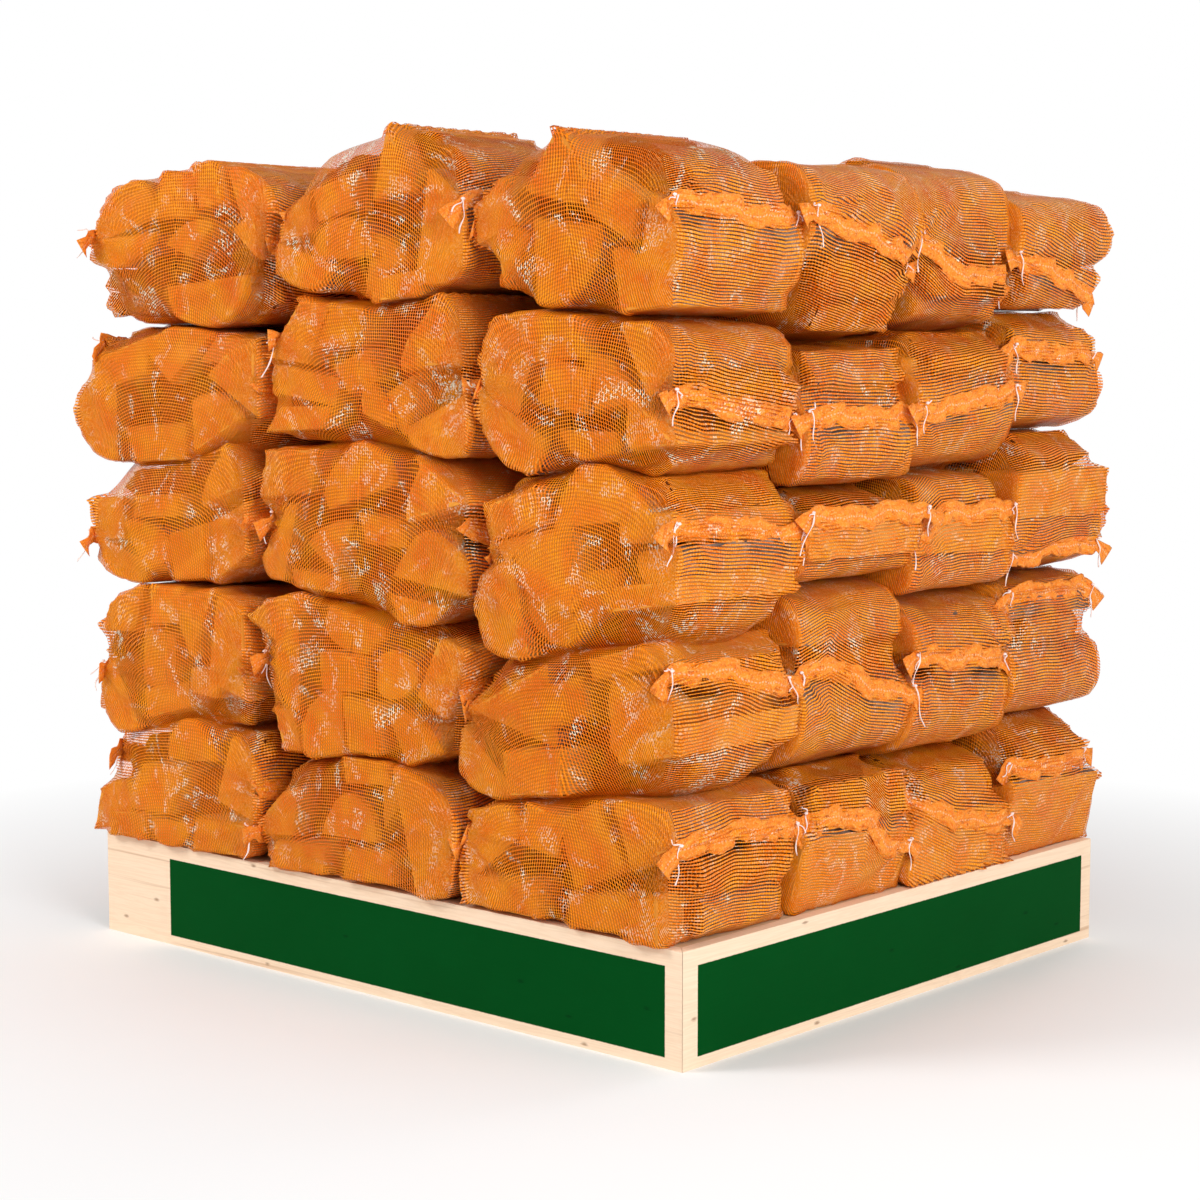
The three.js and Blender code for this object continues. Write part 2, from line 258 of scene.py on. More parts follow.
def hem_material():
    """The net folded several times over and sewn: nearly closed, with long folds and a stitch line."""
    board = Board("net hem")
    threads = board.threads()
    across, length, _ = board.parts(threads)
    where = board.place()
    long_folds = board.node("ShaderNodeMapping", {}, {"Vector": threads, "Scale": (5, 55, 1)})
    folds = board.noise(long_folds, 1.0, 4.0, 0.65, 0.8)
    fuzz = board.noise(where, 380.0, 2.0)
    gaps = board.noise(where, 150.0, 2.0)
    # Painted light and shade: dark spots for the shade in the small openings, the long folds lighter on
    # their crests and darker between, and pale flecks as highlights
    deep = board.colour(gaps.step(0.4, 0.15), (0.50, 0.075, 0.003), (0.88, 0.185, 0.008))
    tone = board.colour(folds.step(0.5, 0.35), deep, (1.0, 0.33, 0.03))
    pale = board.colour((fuzz.step(0.62, 0.2) * 0.55).clamp(), tone, (1.0, 0.58, 0.22))
    stitch_row = (across - 0.5 + (gaps - 0.5) * 0.12).math("ABSOLUTE")
    stitch = (1.0 - stitch_row.step(0.035, 0.02)) * (length / 0.0062 + gaps).wave().step(0.5, 0.3)
    sewn = board.colour(stitch * 0.5, pale, (0.98, 0.66, 0.44))
    relief = board.bump(folds + fuzz * 0.35 + gaps * 0.3, 0.9, 0.004)
    return board.surface(Base_Color=sewn, Roughness=0.6, Normal=relief, Specular_IOR_Level=0.2)


def string_material():
    """Thin white string with a twist."""
    board = Board("tie string")
    where = board.place()
    twist = board.noise(where, 600.0, 1.0)
    tone = board.colour(twist, (0.86, 0.62, 0.56), (0.96, 0.90, 0.86))
    relief = board.bump(twist, 0.6, 0.0008)
    return board.surface(Base_Color=tone, Roughness=0.75, Normal=relief)


# Logs
# Painted shade for the shorter logs set back deep in the bag
SHADED_WOOD = (0.12, 0.028, 0.003)


def toned_and_shaded(board, fresh, old, share):
    """Darkens a log by its own random tone, and paints the shorter logs set back between the others in
    shade.
    """
    tone = board.attribute("tone", "Fac")
    darker = board.colour((tone * share).clamp(), fresh, old)
    # Painted shade: logs with the set-back tone take the shaded wood colour
    return board.colour(tone.step(1.5, 0.4), darker, SHADED_WOOD)


def end_grain_material():
    """Sawn end: growth rings round the pith and saw scratches."""
    board = Board("sawn end")
    grain = board.attribute("grain", "Vector")
    across, _, up = board.parts(grain)
    where = board.place()
    sway = board.noise(grain, 3.0, 2.0)
    far = (across * across + up * up).math("SQRT")
    rings = (far * 11.0 + sway * 1.6).wave()
    patches = board.noise(where, 14.0, 3.0)
    scratches = board.noise(board.place((30, 1, 260)), 3.0, 2.0)
    # The wood's own rings and patches, tinted deep orange as painted light, for the light that reaches it
    # through the orange net
    base = board.colour(rings * 0.45, (0.74, 0.27, 0.030), (0.56, 0.175, 0.018))
    tone = board.colour((patches * 0.9).step(0.45, 0.5) * 0.6, base, (0.84, 0.37, 0.060))
    relief = board.bump(rings * 0.3 + scratches * 0.5, 0.35, 0.001)
    shown = toned_and_shaded(board, tone, (0.46, 0.135, 0.014), 0.45)
    return board.surface(Base_Color=shown, Roughness=0.8, Normal=relief, Specular_IOR_Level=0.08)


def split_face_material():
    """Torn long face: pale streaks along the fibres."""
    board = Board("split face")
    fibres = board.noise(board.place((60, 5, 60)), 2.0, 4.0, 0.6)
    patches = board.noise(board.place(), 12.0, 2.0)
    # The wood's own fibre streaks and patches, tinted orange as painted light, for the light that reaches
    # it through the orange net
    tone = board.colour(fibres.step(0.5, 0.5), (0.68, 0.28, 0.055), (0.92, 0.50, 0.16))
    mixed = board.colour(patches * 0.4, tone, (0.76, 0.34, 0.08))
    relief = board.bump(fibres, 0.6, 0.003)
    shown = toned_and_shaded(board, mixed, (0.40, 0.13, 0.02), 0.4)
    return board.surface(Base_Color=shown, Roughness=0.85, Normal=relief, Specular_IOR_Level=0.08)


def bark_material():
    """Beech bark: smooth and grey-brown with cracks, pale blotches and darker bands."""
    board = Board("beech bark")
    where = board.place()
    blotches = board.noise(where, 22.0, 4.0, 0.65)
    cracks = board.noise(board.place((90, 14, 90)), 2.0, 3.0, 0.6)
    tone = board.colour(blotches.step(0.52, 0.3), (0.12, 0.070, 0.050), (0.32, 0.215, 0.16))
    dark = board.colour(cracks.step(0.42, 0.2), (0.035, 0.018, 0.012), tone)
    relief = board.bump(blotches + cracks, 0.8, 0.003)
    return board.surface(Base_Color=dark, Roughness=0.9, Normal=relief)


# Base
def pine_boards(name, panel, axis):
    """Planed pine along X (0) or Y (1) with faint grain and small knots. A panel on the outer face
    is painted green between its two ends."""
    board = Board(name)
    where = board.place()
    x, y, z = board.parts(where)
    length, depth = (x, y) if axis == 0 else (y, x)
    stretch = (2.2, 60, 42) if axis == 0 else (60, 2.2, 42)
    grain = board.noise(board.place(stretch), 1.0, 5.0, 0.62, 0.6)
    lines = (grain * 9.0 + z * 60.0).wave()
    fine = board.noise(board.place(tuple(9 * value for value in stretch)), 1.0, 3.0)
    streaks = board.noise(board.place((1.3, 80, 95) if axis == 0 else (80, 1.3, 95)), 1.0, 3.0, 0.55)
    flat = board.node("ShaderNodeCombineXYZ", {}, {0: length * 4.2 + 0.31, 1: z * 9.5 + 0.42, 2: 0.0})
    knots = board.node("ShaderNodeTexVoronoi", {"feature": "F1", "voronoi_dimensions": "2D"},
                       {"Vector": flat, "Scale": 1.0}, "Distance")
    knot = (1.0 - (knots + fine * 0.05).step(0.045, 0.026)) * 0.7
    tone = board.colour(lines * 0.3 + fine * 0.3, (0.95, 0.74, 0.55), (0.77, 0.53, 0.34))
    streaked = board.colour(streaks.step(0.66, 0.1) * 0.6, tone, (0.56, 0.33, 0.19))
    wood = board.colour(knot, streaked, (0.26, 0.13, 0.065))
    relief = board.bump(lines * 0.2 + fine * 0.4, 0.12, 0.001)
    if not panel:
        return board.surface(Base_Color=wood, Roughness=0.68, Normal=relief)
    low, high = panel
    edge = board.noise(where, 180.0, 1.0) * 0.0008
    soft = 0.0008
    in_length = (length + edge).step(low, soft) * (1.0 - (length + edge).step(high, soft))
    in_height = (z + edge).step(PANEL_LOW, soft) * (1.0 - (z + edge).step(PANEL_HIGH, soft))
    outer_face = (BASE_DEPTH if axis == 0 else BASE_LENGTH) / 2 - 1 * MM
    painted = in_length * in_height * depth.math("ABSOLUTE").step(outer_face, soft)
    cloud = board.noise(where, 7.0, 3.0)
    green = board.colour(cloud * 0.6 + fine * 0.3, (0.0001, 0.050, 0.0062), (0.0003, 0.072, 0.0108))
    through = board.colour(knot * 0.6, green, (0.0004, 0.012, 0.003))
    shown = board.colour(painted, wood, through)
    return board.surface(Base_Color=shown, Roughness=0.68 - painted * 0.12, Normal=relief,
                         Specular_IOR_Level=0.02)


def plywood_material():
    """Pale sheet with a long grain."""
    board = Board("plywood")
    grain = board.noise(board.place((3, 70, 70)), 1.0, 5.0, 0.6, 0.8)
    tone = board.colour(grain, (0.56, 0.36, 0.18), (0.80, 0.62, 0.40))
    return board.surface(Base_Color=tone, Roughness=0.75, Normal=board.bump(grain, 0.2, 0.001))


def floor_material():
    """Pale floor that turns into the white backdrop away from the object."""
    board = Board("pale floor")
    where = board.place()
    x, y, _ = board.parts(where)
    cloud = board.noise(where, 3.0, 2.0)
    tone = board.colour(cloud, (0.88, 0.88, 0.88), (0.91, 0.91, 0.91))
    painted = board.node("ShaderNodeBsdfPrincipled", {}, {"Base Color": tone, "Roughness": 0.9}, "BSDF")
    white = board.node("ShaderNodeEmission", {}, {"Color": (1, 1, 1, 1), "Strength": 1.0}, "Emission")
    far = (x * x + y * y).math("SQRT").step(FLOOR_EDGE, FLOOR_FADE)
    return board.finish(board.node("ShaderNodeMixShader", {}, {0: far, 1: painted, 2: white}, "Shader"))


# Split logs by their end shape: the sharp or flat side's middle, the radius and
# the way that the bark side faces, in degrees from +X towards +Z
SPREADS = {"half": 180, "quarter": 90, "wedge": 50}
WEDGE_MOST = 75


def wedge(x, z, r, turn, spread):
    kind = "wedge" if spread < WEDGE_MOST else "quarter"
    return {"x": x, "z": z, "w": r, "h": r, "turn": turn, "kind": kind}


def half(x, z, r, turn):
    return {"x": x, "z": z, "w": r, "h": r, "turn": turn, "kind": "half"}


def quarter(x, z, r, turn):
    return wedge(x, z, r, turn, 90)


def round_log(x, z, r):
    return {"x": x, "z": z, "w": r, "h": r, "turn": 0, "kind": "round"}


def block(x, z, w, h, turn):
    return {"x": x, "z": z, "w": w, "h": h, "turn": turn, "kind": "block"}


# What each bag of the front row holds, seen at its sawn ends
FILLINGS = {
    "A5": [half(-505, 1095, 88, 95), half(-510, 1085, 82, -100), block(-375, 1135, 100, 95, -10),
        block(-290, 1145, 62, 90, 12), quarter(-235, 1080, 95, 60), quarter(-335, 1000, 82, 105),
        half(-300, 968, 98, -85), wedge(-175, 1000, 95, 115, 60)],
    "B5": [quarter(-90, 1110, 70, 140), block(-40, 1160, 80, 60, 10), half(-20, 1060, 68, 90),
        half(-95, 1075, 62, -115), wedge(5, 1005, 100, 50, 60), half(125, 1100, 88, -12),
        wedge(88, 1228, 100, -92, 66), block(75, 1015, 90, 36, 0)],
    "C5": [quarter(300, 1090, 80, 145), wedge(268, 1010, 88, 68, 56), quarter(335, 1098, 118, -48),
        wedge(400, 1202, 92, -90, 84), block(478, 1120, 92, 64, -18), half(535, 1085, 62, -20),
        quarter(500, 985, 82, 62)],
    "A4": [half(-585, 830, 76, 175), block(-565, 905, 120, 56, 14), quarter(-455, 880, 88, 100),
        wedge(-268, 800, 140, 118, 46), block(-345, 925, 120, 44, -4), block(-480, 790, 140, 56, 4),
        quarter(-385, 775, 84, 62)],
    "B4": [block(-132, 938, 96, 84, -12), block(-32, 950, 82, 66, 8), block(12, 888, 86, 52, 30),
        quarter(205, 905, 96, 140), wedge(130, 895, 92, -128, 52), block(-98, 862, 140, 46, -12),
        block(-95, 815, 120, 34, -3), quarter(25, 815, 62, 48), half(165, 845, 66, -70)],
    "C4": [half(335, 890, 82, 160), half(310, 830, 62, -110), block(385, 935, 100, 58, 4),
        block(405, 870, 76, 62, -18), quarter(445, 835, 82, 60), half(520, 915, 48, 20),
        half(440, 815, 48, -90), wedge(590, 815, 92, 168, 50)],
    "A3": [block(-565, 690, 76, 76, 0), half(-530, 640, 64, -110), quarter(-478, 600, 92, 62),
        block(-360, 628, 88, 84, 0), block(-272, 625, 88, 96, 4), quarter(-245, 700, 84, 140),
        block(-430, 715, 110, 38, 0)],
    "B3": [block(-165, 748, 120, 66, 4), half(-8, 728, 72, 112), block(45, 682, 92, 44, 10),
        wedge(222, 742, 128, 172, 34), quarter(-52, 612, 80, 112), half(-150, 645, 56, 170),
        half(150, 616, 78, 82), half(125, 604, 52, -90), block(-90, 592, 120, 26, 0)],
    "C3": [half(440, 706, 74, 90), block(305, 718, 96, 58, 26), quarter(400, 700, 120, -122),
        half(322, 580, 74, 190), half(395, 620, 88, -88), block(518, 688, 80, 52, 8),
        round_log(548, 630, 34), block(520, 580, 110, 40, 8)],
    "A2": [quarter(-520, 480, 84, 130), half(-545, 390, 62, 200), block(-445, 525, 84, 60, 8),
        wedge(-372, 432, 122, 90, 56), block(-465, 440, 80, 92, 0), block(-440, 372, 120, 44, 4),
        block(-285, 460, 88, 140, -8), block(-340, 395, 60, 44, 0)],
    "B2": [half(-50, 562, 66, -90), quarter(-200, 500, 72, 110), half(-150, 470, 62, 180),
        block(-58, 470, 92, 56, 4), round_log(45, 484, 42), block(155, 490, 80, 84, -14),
        quarter(-62, 342, 106, 132), block(-8, 390, 78, 86, 0), quarter(105, 345, 88, 82),
        block(-200, 385, 50, 60, 0)],
    "C2": [wedge(215, 446, 150, 14, 32), half(268, 378, 60, -130), block(362, 466, 100, 66, 12),
        block(345, 372, 106, 70, 8), quarter(545, 445, 104, 190), block(515, 395, 96, 44, 8),
        block(475, 512, 110, 34, 8)],
    "A1": [quarter(-600, 175, 106, 55), block(-465, 255, 116, 80, -4), half(-405, 208, 44, -90),
        half(-385, 300, 58, 90), quarter(-315, 240, 96, 32), block(-285, 190, 130, 52, 0),
        block(-500, 190, 96, 50, 0)],
    "B1": [quarter(-150, 215, 78, 130), half(-30, 225, 58, 90), block(15, 318, 110, 40, 4),
        half(105, 245, 82, 8), wedge(35, 240, 72, 70, 52), block(-130, 186, 120, 48, 0),
        block(15, 188, 100, 46, 3)],
    "C1": [half(300, 250, 72, 130), block(375, 292, 80, 60, -18), block(472, 275, 96, 100, 18),
        quarter(540, 240, 80, 60), block(300, 190, 150, 50, 0), block(480, 190, 110, 48, 4),
        block(563, 187, 56, 54, 6)],
}

# Where the front row's bags meet: heights of the layers' cuts from left to right
FRONT_CUTS = {
    "A": [
        [[-600, 300], [-450, 340], [-380, 368], [-220, 360]],
        [[-600, 555], [-450, 565], [-300, 572], [-210, 600]],
        [[-640, 738], [-500, 745], [-400, 752], [-300, 785], [-230, 788]],
        [[-620, 962], [-400, 965], [-290, 952], [-200, 960]],
        [[-610, 1150], [-520, 1190], [-300, 1205], [-160, 1185]],
    ],
    "B": [
        [[-240, 320], [-100, 328], [0, 350], [100, 342], [215, 325]],
        [[-240, 578], [-100, 575], [0, 560], [50, 540], [150, 545], [235, 562]],
        [[-235, 792], [0, 805], [100, 790], [200, 758], [240, 760]],
        [[-195, 985], [-140, 1008], [50, 988], [150, 1000], [240, 1002]],
        [[-170, 1165], [-60, 1200], [0, 1202], [90, 1240], [200, 1195], [235, 1160]],
    ],
    "C": [
        [[190, 318], [250, 312], [450, 335], [550, 358], [610, 368]],
        [[235, 515], [280, 502], [400, 520], [500, 548], [610, 558]],
        [[240, 775], [360, 752], [450, 788], [520, 765], [610, 756]],
        [[245, 992], [300, 985], [500, 965], [610, 962]],
        [[210, 1165], [300, 1182], [400, 1212], [500, 1190], [610, 1168]],
    ],
}

# The columns' sides in the front row, from the base up, as height and place
FRONT_SIDES = [
    [[158, -640], [250, -600], [330, -592], [410, -610], [480, -606], [560, -588], [640, -616],
     [740, -622], [820, -664], [900, -645], [980, -606], [1120, -604], [1240, -575]],
    [[158, -232], [270, -218], [340, -210], [430, -234], [500, -250], [570, -236], [650, -220],
     [740, -226], [820, -204], [930, -188], [1010, -162], [1240, -166]],
    [[158, 192], [250, 206], [340, 194], [440, 210], [520, 238], [640, 238],
     [760, 250], [850, 238], [1000, 243], [1150, 222], [1240, 226]],
    [[158, 598], [260, 610], [360, 598], [460, 610], [555, 600], [650, 610], [755, 598],
     [860, 611], [960, 600], [1080, 608], [1240, 570]],
]

# The layers' mean heights in the rows behind, and how far a cut waves
REAR_LEVELS = [
    {"A": [352, 566, 756, 968, 1182], "B": [346, 558, 764, 970, 1192], "C": [350, 600, 738, 940, 1180]},
    {"A": [340, 560, 770, 960, 1190], "B": [352, 566, 756, 962, 1196], "C": [330, 576, 756, 948, 1188]},
    {"C": [372, 590, 798, 978, 1172]},
]
REAR_SIDES = [-606, -198, 204, 606]
WAVE_HEIGHT = 9
WAVE_LENGTH = 62


# Where each bag lies
def bag_name(column, layer):
    return f"{COLUMNS[column]}{layer + 1}"


def mix(a, b, share):
    return a + (b - a) * share


def along(points, at):
    """Values read along a list of points."""
    return np.interp(at, [p[0] for p in points], [p[1] for p in points])


def cut_height(row, column, cut, x):
    """Height of a cut between layers. The back row's A and B columns mirror the front's C and B."""
    if cut < 0:
        return BAG_FLOOR
    name = COLUMNS[column]
    if row == FRONT:
        return along(FRONT_CUTS[name][cut], x)
    if row == BACK and name != "C":
        return along(FRONT_CUTS[COLUMNS[2 - column]][cut], -x)
    wave = math.sin(x / WAVE_LENGTH + 2 * row + 1.7 * cut + column)
    return REAR_LEVELS[row - 1][name][cut] + WAVE_HEIGHT * wave


def side_place(row, side, z):
    """Place of a column's side at a height."""
    if row == FRONT:
        return along(FRONT_SIDES[side], z)
    if row == BACK and side < 3:
        return -along(FRONT_SIDES[3 - side], z)
    wave = math.sin(z / WAVE_LENGTH + 3 * row + 2 * side)
    return REAR_SIDES[side] + WAVE_HEIGHT * wave


# A bag's outline in its cell, where both directions run from -1 to 1
OUTLINE = [(1, 0.42), (0.8, 0.92), (0.3, 1), (-0.3, 1), (-0.8, 0.92), (-1, 0.42),
           (-1, -0.42), (-0.8, -0.92), (-0.3, -1), (0.3, -1), (0.8, -0.92), (1, -0.42)]
SETTLE_STEPS = 6


def place_in_cell(row, column, layer, u, v, lift=SIDE_GAP):
    """Finds x and z together, because the cell's sides and cuts both wave."""
    x = mix(REAR_SIDES[column], REAR_SIDES[column + 1], (u + 1) / 2)
    z = 0
    for _ in range(SETTLE_STEPS):
        bottom = cut_height(row, column, layer - 1, x) + lift
        top = cut_height(row, column, layer, x) - lift
        z = mix(bottom, top, (v + 1) / 2)
        left = side_place(row, column, z) + SIDE_GAP
        right = side_place(row, column + 1, z) - SIDE_GAP
        x = mix(left, right, (u + 1) / 2)
    return x, z


def cell_box(row, column, layer):
    """Lowest and highest x and z of a bag's cell."""
    ring = [place_in_cell(row, column, layer, u, v) for u, v in OUTLINE]
    return [pick(p[axis] for p in ring) for axis in (0, 1) for pick in (min, max)]


def logs_in(row, column, layer):
    """A rear bag holds the logs of a front bag, mirrored and fitted to its own cell."""
    if row == FRONT:
        return FILLINGS[bag_name(column, layer)]
    from_column = 2 - column
    fx0, fx1, fz0, fz1 = cell_box(FRONT, from_column, layer)
    tx0, tx1, tz0, tz1 = cell_box(row, column, layer)
    scale_x = (tx1 - tx0) / (fx1 - fx0)
    scale_z = (tz1 - tz0) / (fz1 - fz0)
    scale = min(scale_x, scale_z)
    logs = []
    for log in FILLINGS[bag_name(from_column, layer)]:
        turn = -log["turn"] if log["kind"] == "block" else 180 - log["turn"]
        logs.append({**log, "x": tx1 - (log["x"] - fx0) * scale_x, "z": tz0 + (log["z"] - fz0) * scale_z,
                     "w": log["w"] * scale, "h": log["h"] * scale, "turn": turn})
    return logs


# Shorter logs between the ones that show
FILL_STEP = 8
FILL_LEAST = 10
FILL_MOST = 10
FILL_CORNER = 1.15
FILL_ROUND_SHARE = 0.35
FILL_SIDE = 1.5
FILL_SIDES_RATIO = (0.95, 1.15)
FILL_RECESS = (18, 50)
# Tone that paints the set-back logs in shade
HIDDEN_SHADE_TONE = 2


def log_outline(log):
    """Corners of a log's end, as seen from the front."""
    if log["kind"] == "block":
        ring = [(0.5, 0.5), (-0.5, 0.5), (-0.5, -0.5), (0.5, -0.5)]
    elif log["kind"] == "round":
        ring = [(math.cos(a), math.sin(a)) for a in np.linspace(0, 2 * math.pi, 12, endpoint=False)]
    else:
        spread = math.radians(SPREADS[log["kind"]])
        ring = [(0, 0)] + [(math.cos(a), math.sin(a)) for a in np.linspace(-spread / 2, spread / 2, 7)]
    cos, sin = math.cos(math.radians(log["turn"])), math.sin(math.radians(log["turn"]))
    sized = np.array(ring) * (log["w"], log["h"])
    return sized @ np.array([[cos, sin], [-sin, cos]]) + (log["x"], log["z"])


def inside(ring, spots):
    """Which spots lie in a ring of corners that goes round anticlockwise."""
    ahead = np.roll(ring, -1, axis=0) - ring
    to_spot = spots[:, None] - ring[None]
    return (ahead[:, 0] * to_spot[:, :, 1] - ahead[:, 1] * to_spot[:, :, 0] >= 0).all(axis=1)


def hidden_logs(logs, draw):
    """Shorter logs for the places that the logs in front leave free, so that the bag is full."""
    rings = [log_outline(log) for log in logs]
    corners = np.concatenate(rings)
    low, high = corners.min(axis=0), corners.max(axis=0)
    lines = [np.arange(low[k] - FILL_STEP, high[k] + 2 * FILL_STEP, FILL_STEP) for k in (0, 1)]
    spots = np.stack(np.meshgrid(*lines, indexing="ij"), axis=-1).reshape(-1, 2)
    share = np.abs((spots - (low + high) / 2) / ((high - low) / 2))
    taken = (share ** 4).sum(axis=1) > FILL_CORNER
    for ring in rings:
        taken |= inside(ring, spots)
    added = []
    for _ in range(FILL_MOST):
        if taken.all():
            break
        free = spots[~taken]
        clear = np.linalg.norm(free[:, None] - spots[taken][None], axis=2).min(axis=1)
        best = int(clear.argmax())
        if clear[best] < FILL_LEAST:
            break
        x, z = free[best]
        if draw.random() < FILL_ROUND_SHARE:
            log = round_log(x, z, clear[best] + 1)
        else:
            side = FILL_SIDE * clear[best]
            log = block(x, z, side * draw.uniform(*FILL_SIDES_RATIO), side, draw.uniform(0, 90))
        log["recess"] = draw.uniform(*FILL_RECESS)
        added.append(log)
        taken |= inside(log_outline(log), spots)
    return added


# Modelling helpers
def deselect_all():
    for item in list(bpy.context.selected_objects):
        item.select_set(False)


def start_edit(mode="FACE", select_all=True):
    bpy.ops.object.mode_set(mode="EDIT")
    bpy.ops.mesh.select_mode(type=mode)
    if select_all:
        bpy.ops.mesh.select_all(action="SELECT")


def end_edit():
    bpy.ops.object.mode_set(mode="OBJECT")


def cut_across(places):
    """Cuts all that is in edit mode at these places along Y."""
    for place in places:
        bpy.ops.mesh.select_all(action="SELECT")
        bpy.ops.mesh.bisect(plane_co=(0, place, 0), plane_no=(0, 1, 0))


def take_mesh(item):
    """Keeps a model's mesh, of which copies are made, and drops its object."""
    mesh = item.data
    mesh.use_fake_user = True
    bpy.data.objects.remove(item)
    return mesh


def join(name, items):
    """One piece from several."""
    deselect_all()
    for item in items:
        item.select_set(True)
    bpy.context.view_layer.objects.active = items[0]
    bpy.ops.object.join()
    joined = bpy.context.object
    joined.name = name
    return joined


def edge_pairs(mesh):
    """The two points of each edge."""
    flat = np.empty(len(mesh.edges) * 2, dtype=np.int64)
    mesh.edges.foreach_get("vertices", flat)
    return flat.reshape(-1, 2)


def coordinates(mesh):
    flat = np.empty(len(mesh.vertices) * 3)
    mesh.vertices.foreach_get("co", flat)
    return flat.reshape(-1, 3)


def set_coordinates(mesh, places):
    mesh.vertices.foreach_set("co", np.asarray(places, dtype=np.float64).ravel())
    mesh.update()


def add_attribute(mesh, name, kind, values):
    layer = mesh.attributes.new(name, kind, "POINT")
    key = "vector" if kind == "FLOAT_VECTOR" else "value"
    layer.data.foreach_set(key, np.asarray(values, float).ravel())


def add_threads(mesh, pairs):
    """The piece's own map, from one pair of numbers per point."""
    corners = np.empty(len(mesh.loops), dtype=np.int64)
    mesh.loops.foreach_get("vertex_index", corners)
    mesh.uv_layers.new(name="threads").data.foreach_set("uv", np.asarray(pairs)[corners].ravel())


def smooth_shade(mesh):
    mesh.polygons.foreach_set("use_smooth", [True] * len(mesh.polygons))


# Split logs, one of each kind, one unit in radius and in length, lying along Y
END, SPLIT, BARK = 0, 1, 2
BARK_SIDES = 20
LENGTH_CUTS = (-0.3, -0.1, 0.1, 0.3)
END_EDGE = 0.49
WORN_EDGE = 0.035
SAWN_TILT = 0.6
BARK_FROM = 0.9
SWELL = 0.025
SWELL_WAVES = 3


def split_away(normal):
    """Cuts the round log through its pith and drops the side that the normal points to."""
    bpy.ops.mesh.select_all(action="SELECT")
    bpy.ops.mesh.bisect(plane_co=(0, 0, 0), plane_no=normal, use_fill=True, clear_outer=True)


def model_log(kind, seed, materials):
    """A round log split through its pith, or a block, with worn edges round its ends."""
    deselect_all()
    if kind == "block":
        bpy.ops.mesh.primitive_cube_add(size=1)
    else:
        turned = (math.radians(90), 0, 0)
        bpy.ops.mesh.primitive_cylinder_add(vertices=BARK_SIDES, radius=1, depth=1, rotation=turned)
        bpy.ops.object.transform_apply(location=False, rotation=True, scale=False)
    log = bpy.context.object
    start_edit()
    if kind in SPREADS:
        lean = math.radians(SPREADS[kind] / 2)
        split_away((-math.sin(lean), 0, math.cos(lean)))
        split_away((-math.sin(lean), 0, -math.cos(lean)))
    cut_across(LENGTH_CUTS)
    bpy.ops.mesh.select_all(action="DESELECT")
    end_edit()
    for edge in log.data.edges:
        a, b = (log.data.vertices[i].co for i in edge.vertices)
        edge.select = abs(a.y) > END_EDGE and abs(b.y) > END_EDGE and a.y * b.y > 0
    start_edit("EDGE", select_all=False)
    bpy.ops.mesh.bevel(offset=WORN_EDGE, segments=1)
    end_edit()
    for material in materials:
        log.data.materials.append(material)
    roughen(log.data, kind, seed)
    return take_mesh(log)


def roughen(mesh, kind, seed):
    """Marks sawn, split and bark faces, keeps the grain's places and makes the sides uneven."""
    draw = random.Random(seed)
    places = coordinates(mesh)
    add_attribute(mesh, "grain", "FLOAT_VECTOR", places)
    for face in mesh.polygons:
        middle = face.center
        far = math.hypot(middle.x, middle.z)
        if abs(face.normal.y) > SAWN_TILT:
            face.material_index = END
        else:
            face.material_index = BARK if kind != "block" and far > BARK_FROM else SPLIT
    angle = np.arctan2(places[:, 2], places[:, 0])
    swell = np.zeros(len(places))
    for _ in range(SWELL_WAVES):
        turns, start, pitch, shift = (draw.uniform(*ends) for ends in ((2, 5), (0, 6), (1, 4), (0, 6)))
        swell += SWELL * np.sin(round(turns) * angle + start) * np.cos(pitch * places[:, 1] * 2 + shift)
    places[:, 0] *= 1 + swell
    places[:, 2] *= 1 + swell
    set_coordinates(mesh, places)


# How far, in millimetres and degrees, the logs of a bag lie out of line
LOG_SHIFT = 3
LOG_SKEW = 1.2
LOG_TIP = 0.8


def fill_bag(tag, masters, row, column, layer, draw):
    """One piece of all the logs in a bag."""
    y0, y1 = ROWS[row]
    copies = []
    logs = logs_in(row, column, layer)
    for i, log in enumerate(logs + hidden_logs(logs, draw)):
        mesh = masters[log["kind"]].copy()
        recess = log.get("recess", 0)
        out = END_STEP_LEAST + END_STEP * ((i * 5) % 4) / 3
        if row == FRONT:
            middle = y0 - out + LOG_LENGTH / 2
        elif row == BACK:
            middle = y1 + out - LOG_LENGTH / 2
        else:
            middle = (y0 + y1) / 2 + draw.uniform(-LOG_SHIFT, LOG_SHIFT)
        if recess:
            middle = (y0 + y1) / 2
        lie = Matrix.Rotation(math.radians(draw.uniform(-LOG_SKEW, LOG_SKEW)), 4, "Z")
        tip = Matrix.Rotation(math.radians(draw.uniform(-LOG_TIP, LOG_TIP)), 4, "X")
        turned = Matrix.Rotation(-math.radians(log["turn"]), 4, "Y")
        size = Matrix.Diagonal((log["w"] * MM, (LOG_LENGTH - 2 * recess) * MM, log["h"] * MM, 1))
        place = Matrix.Translation((log["x"] * MM, middle * MM, log["z"] * MM))
        mesh.transform(place @ lie @ tip @ turned @ size)
        # Set-back logs get the tone that paints them in shade; the others get a random tone
        tone = HIDDEN_SHADE_TONE if recess else draw.random()
        add_attribute(mesh, "tone", "FLOAT", [tone] * len(mesh.vertices))
        copies.append(put_in_scene("log", mesh))
    filled = join(f"logs_{tag}", copies)
    spread_in_cell(filled.data, row, column, layer)
    return filled


# How a bag's logs are fitted to its cell. The lowest bags lie flat on the deck
CELL_STEPS = 8
CELL_PRESS = 1.0
ENVELOPE_STEPS = 26
EDGE_SAMPLES = 7
ROUNDING = 4.4
FLAT_ROUNDING = 14
THIN_LEAST = 0.05
STRETCH = (0.75, 1.45)
HEIGHT_SHARE = 0.85
WIDTH_SHARE = 0.65
DECK_HEIGHT_SHARE = 1.0
DECK_WIDTH_SHARE = 0.95


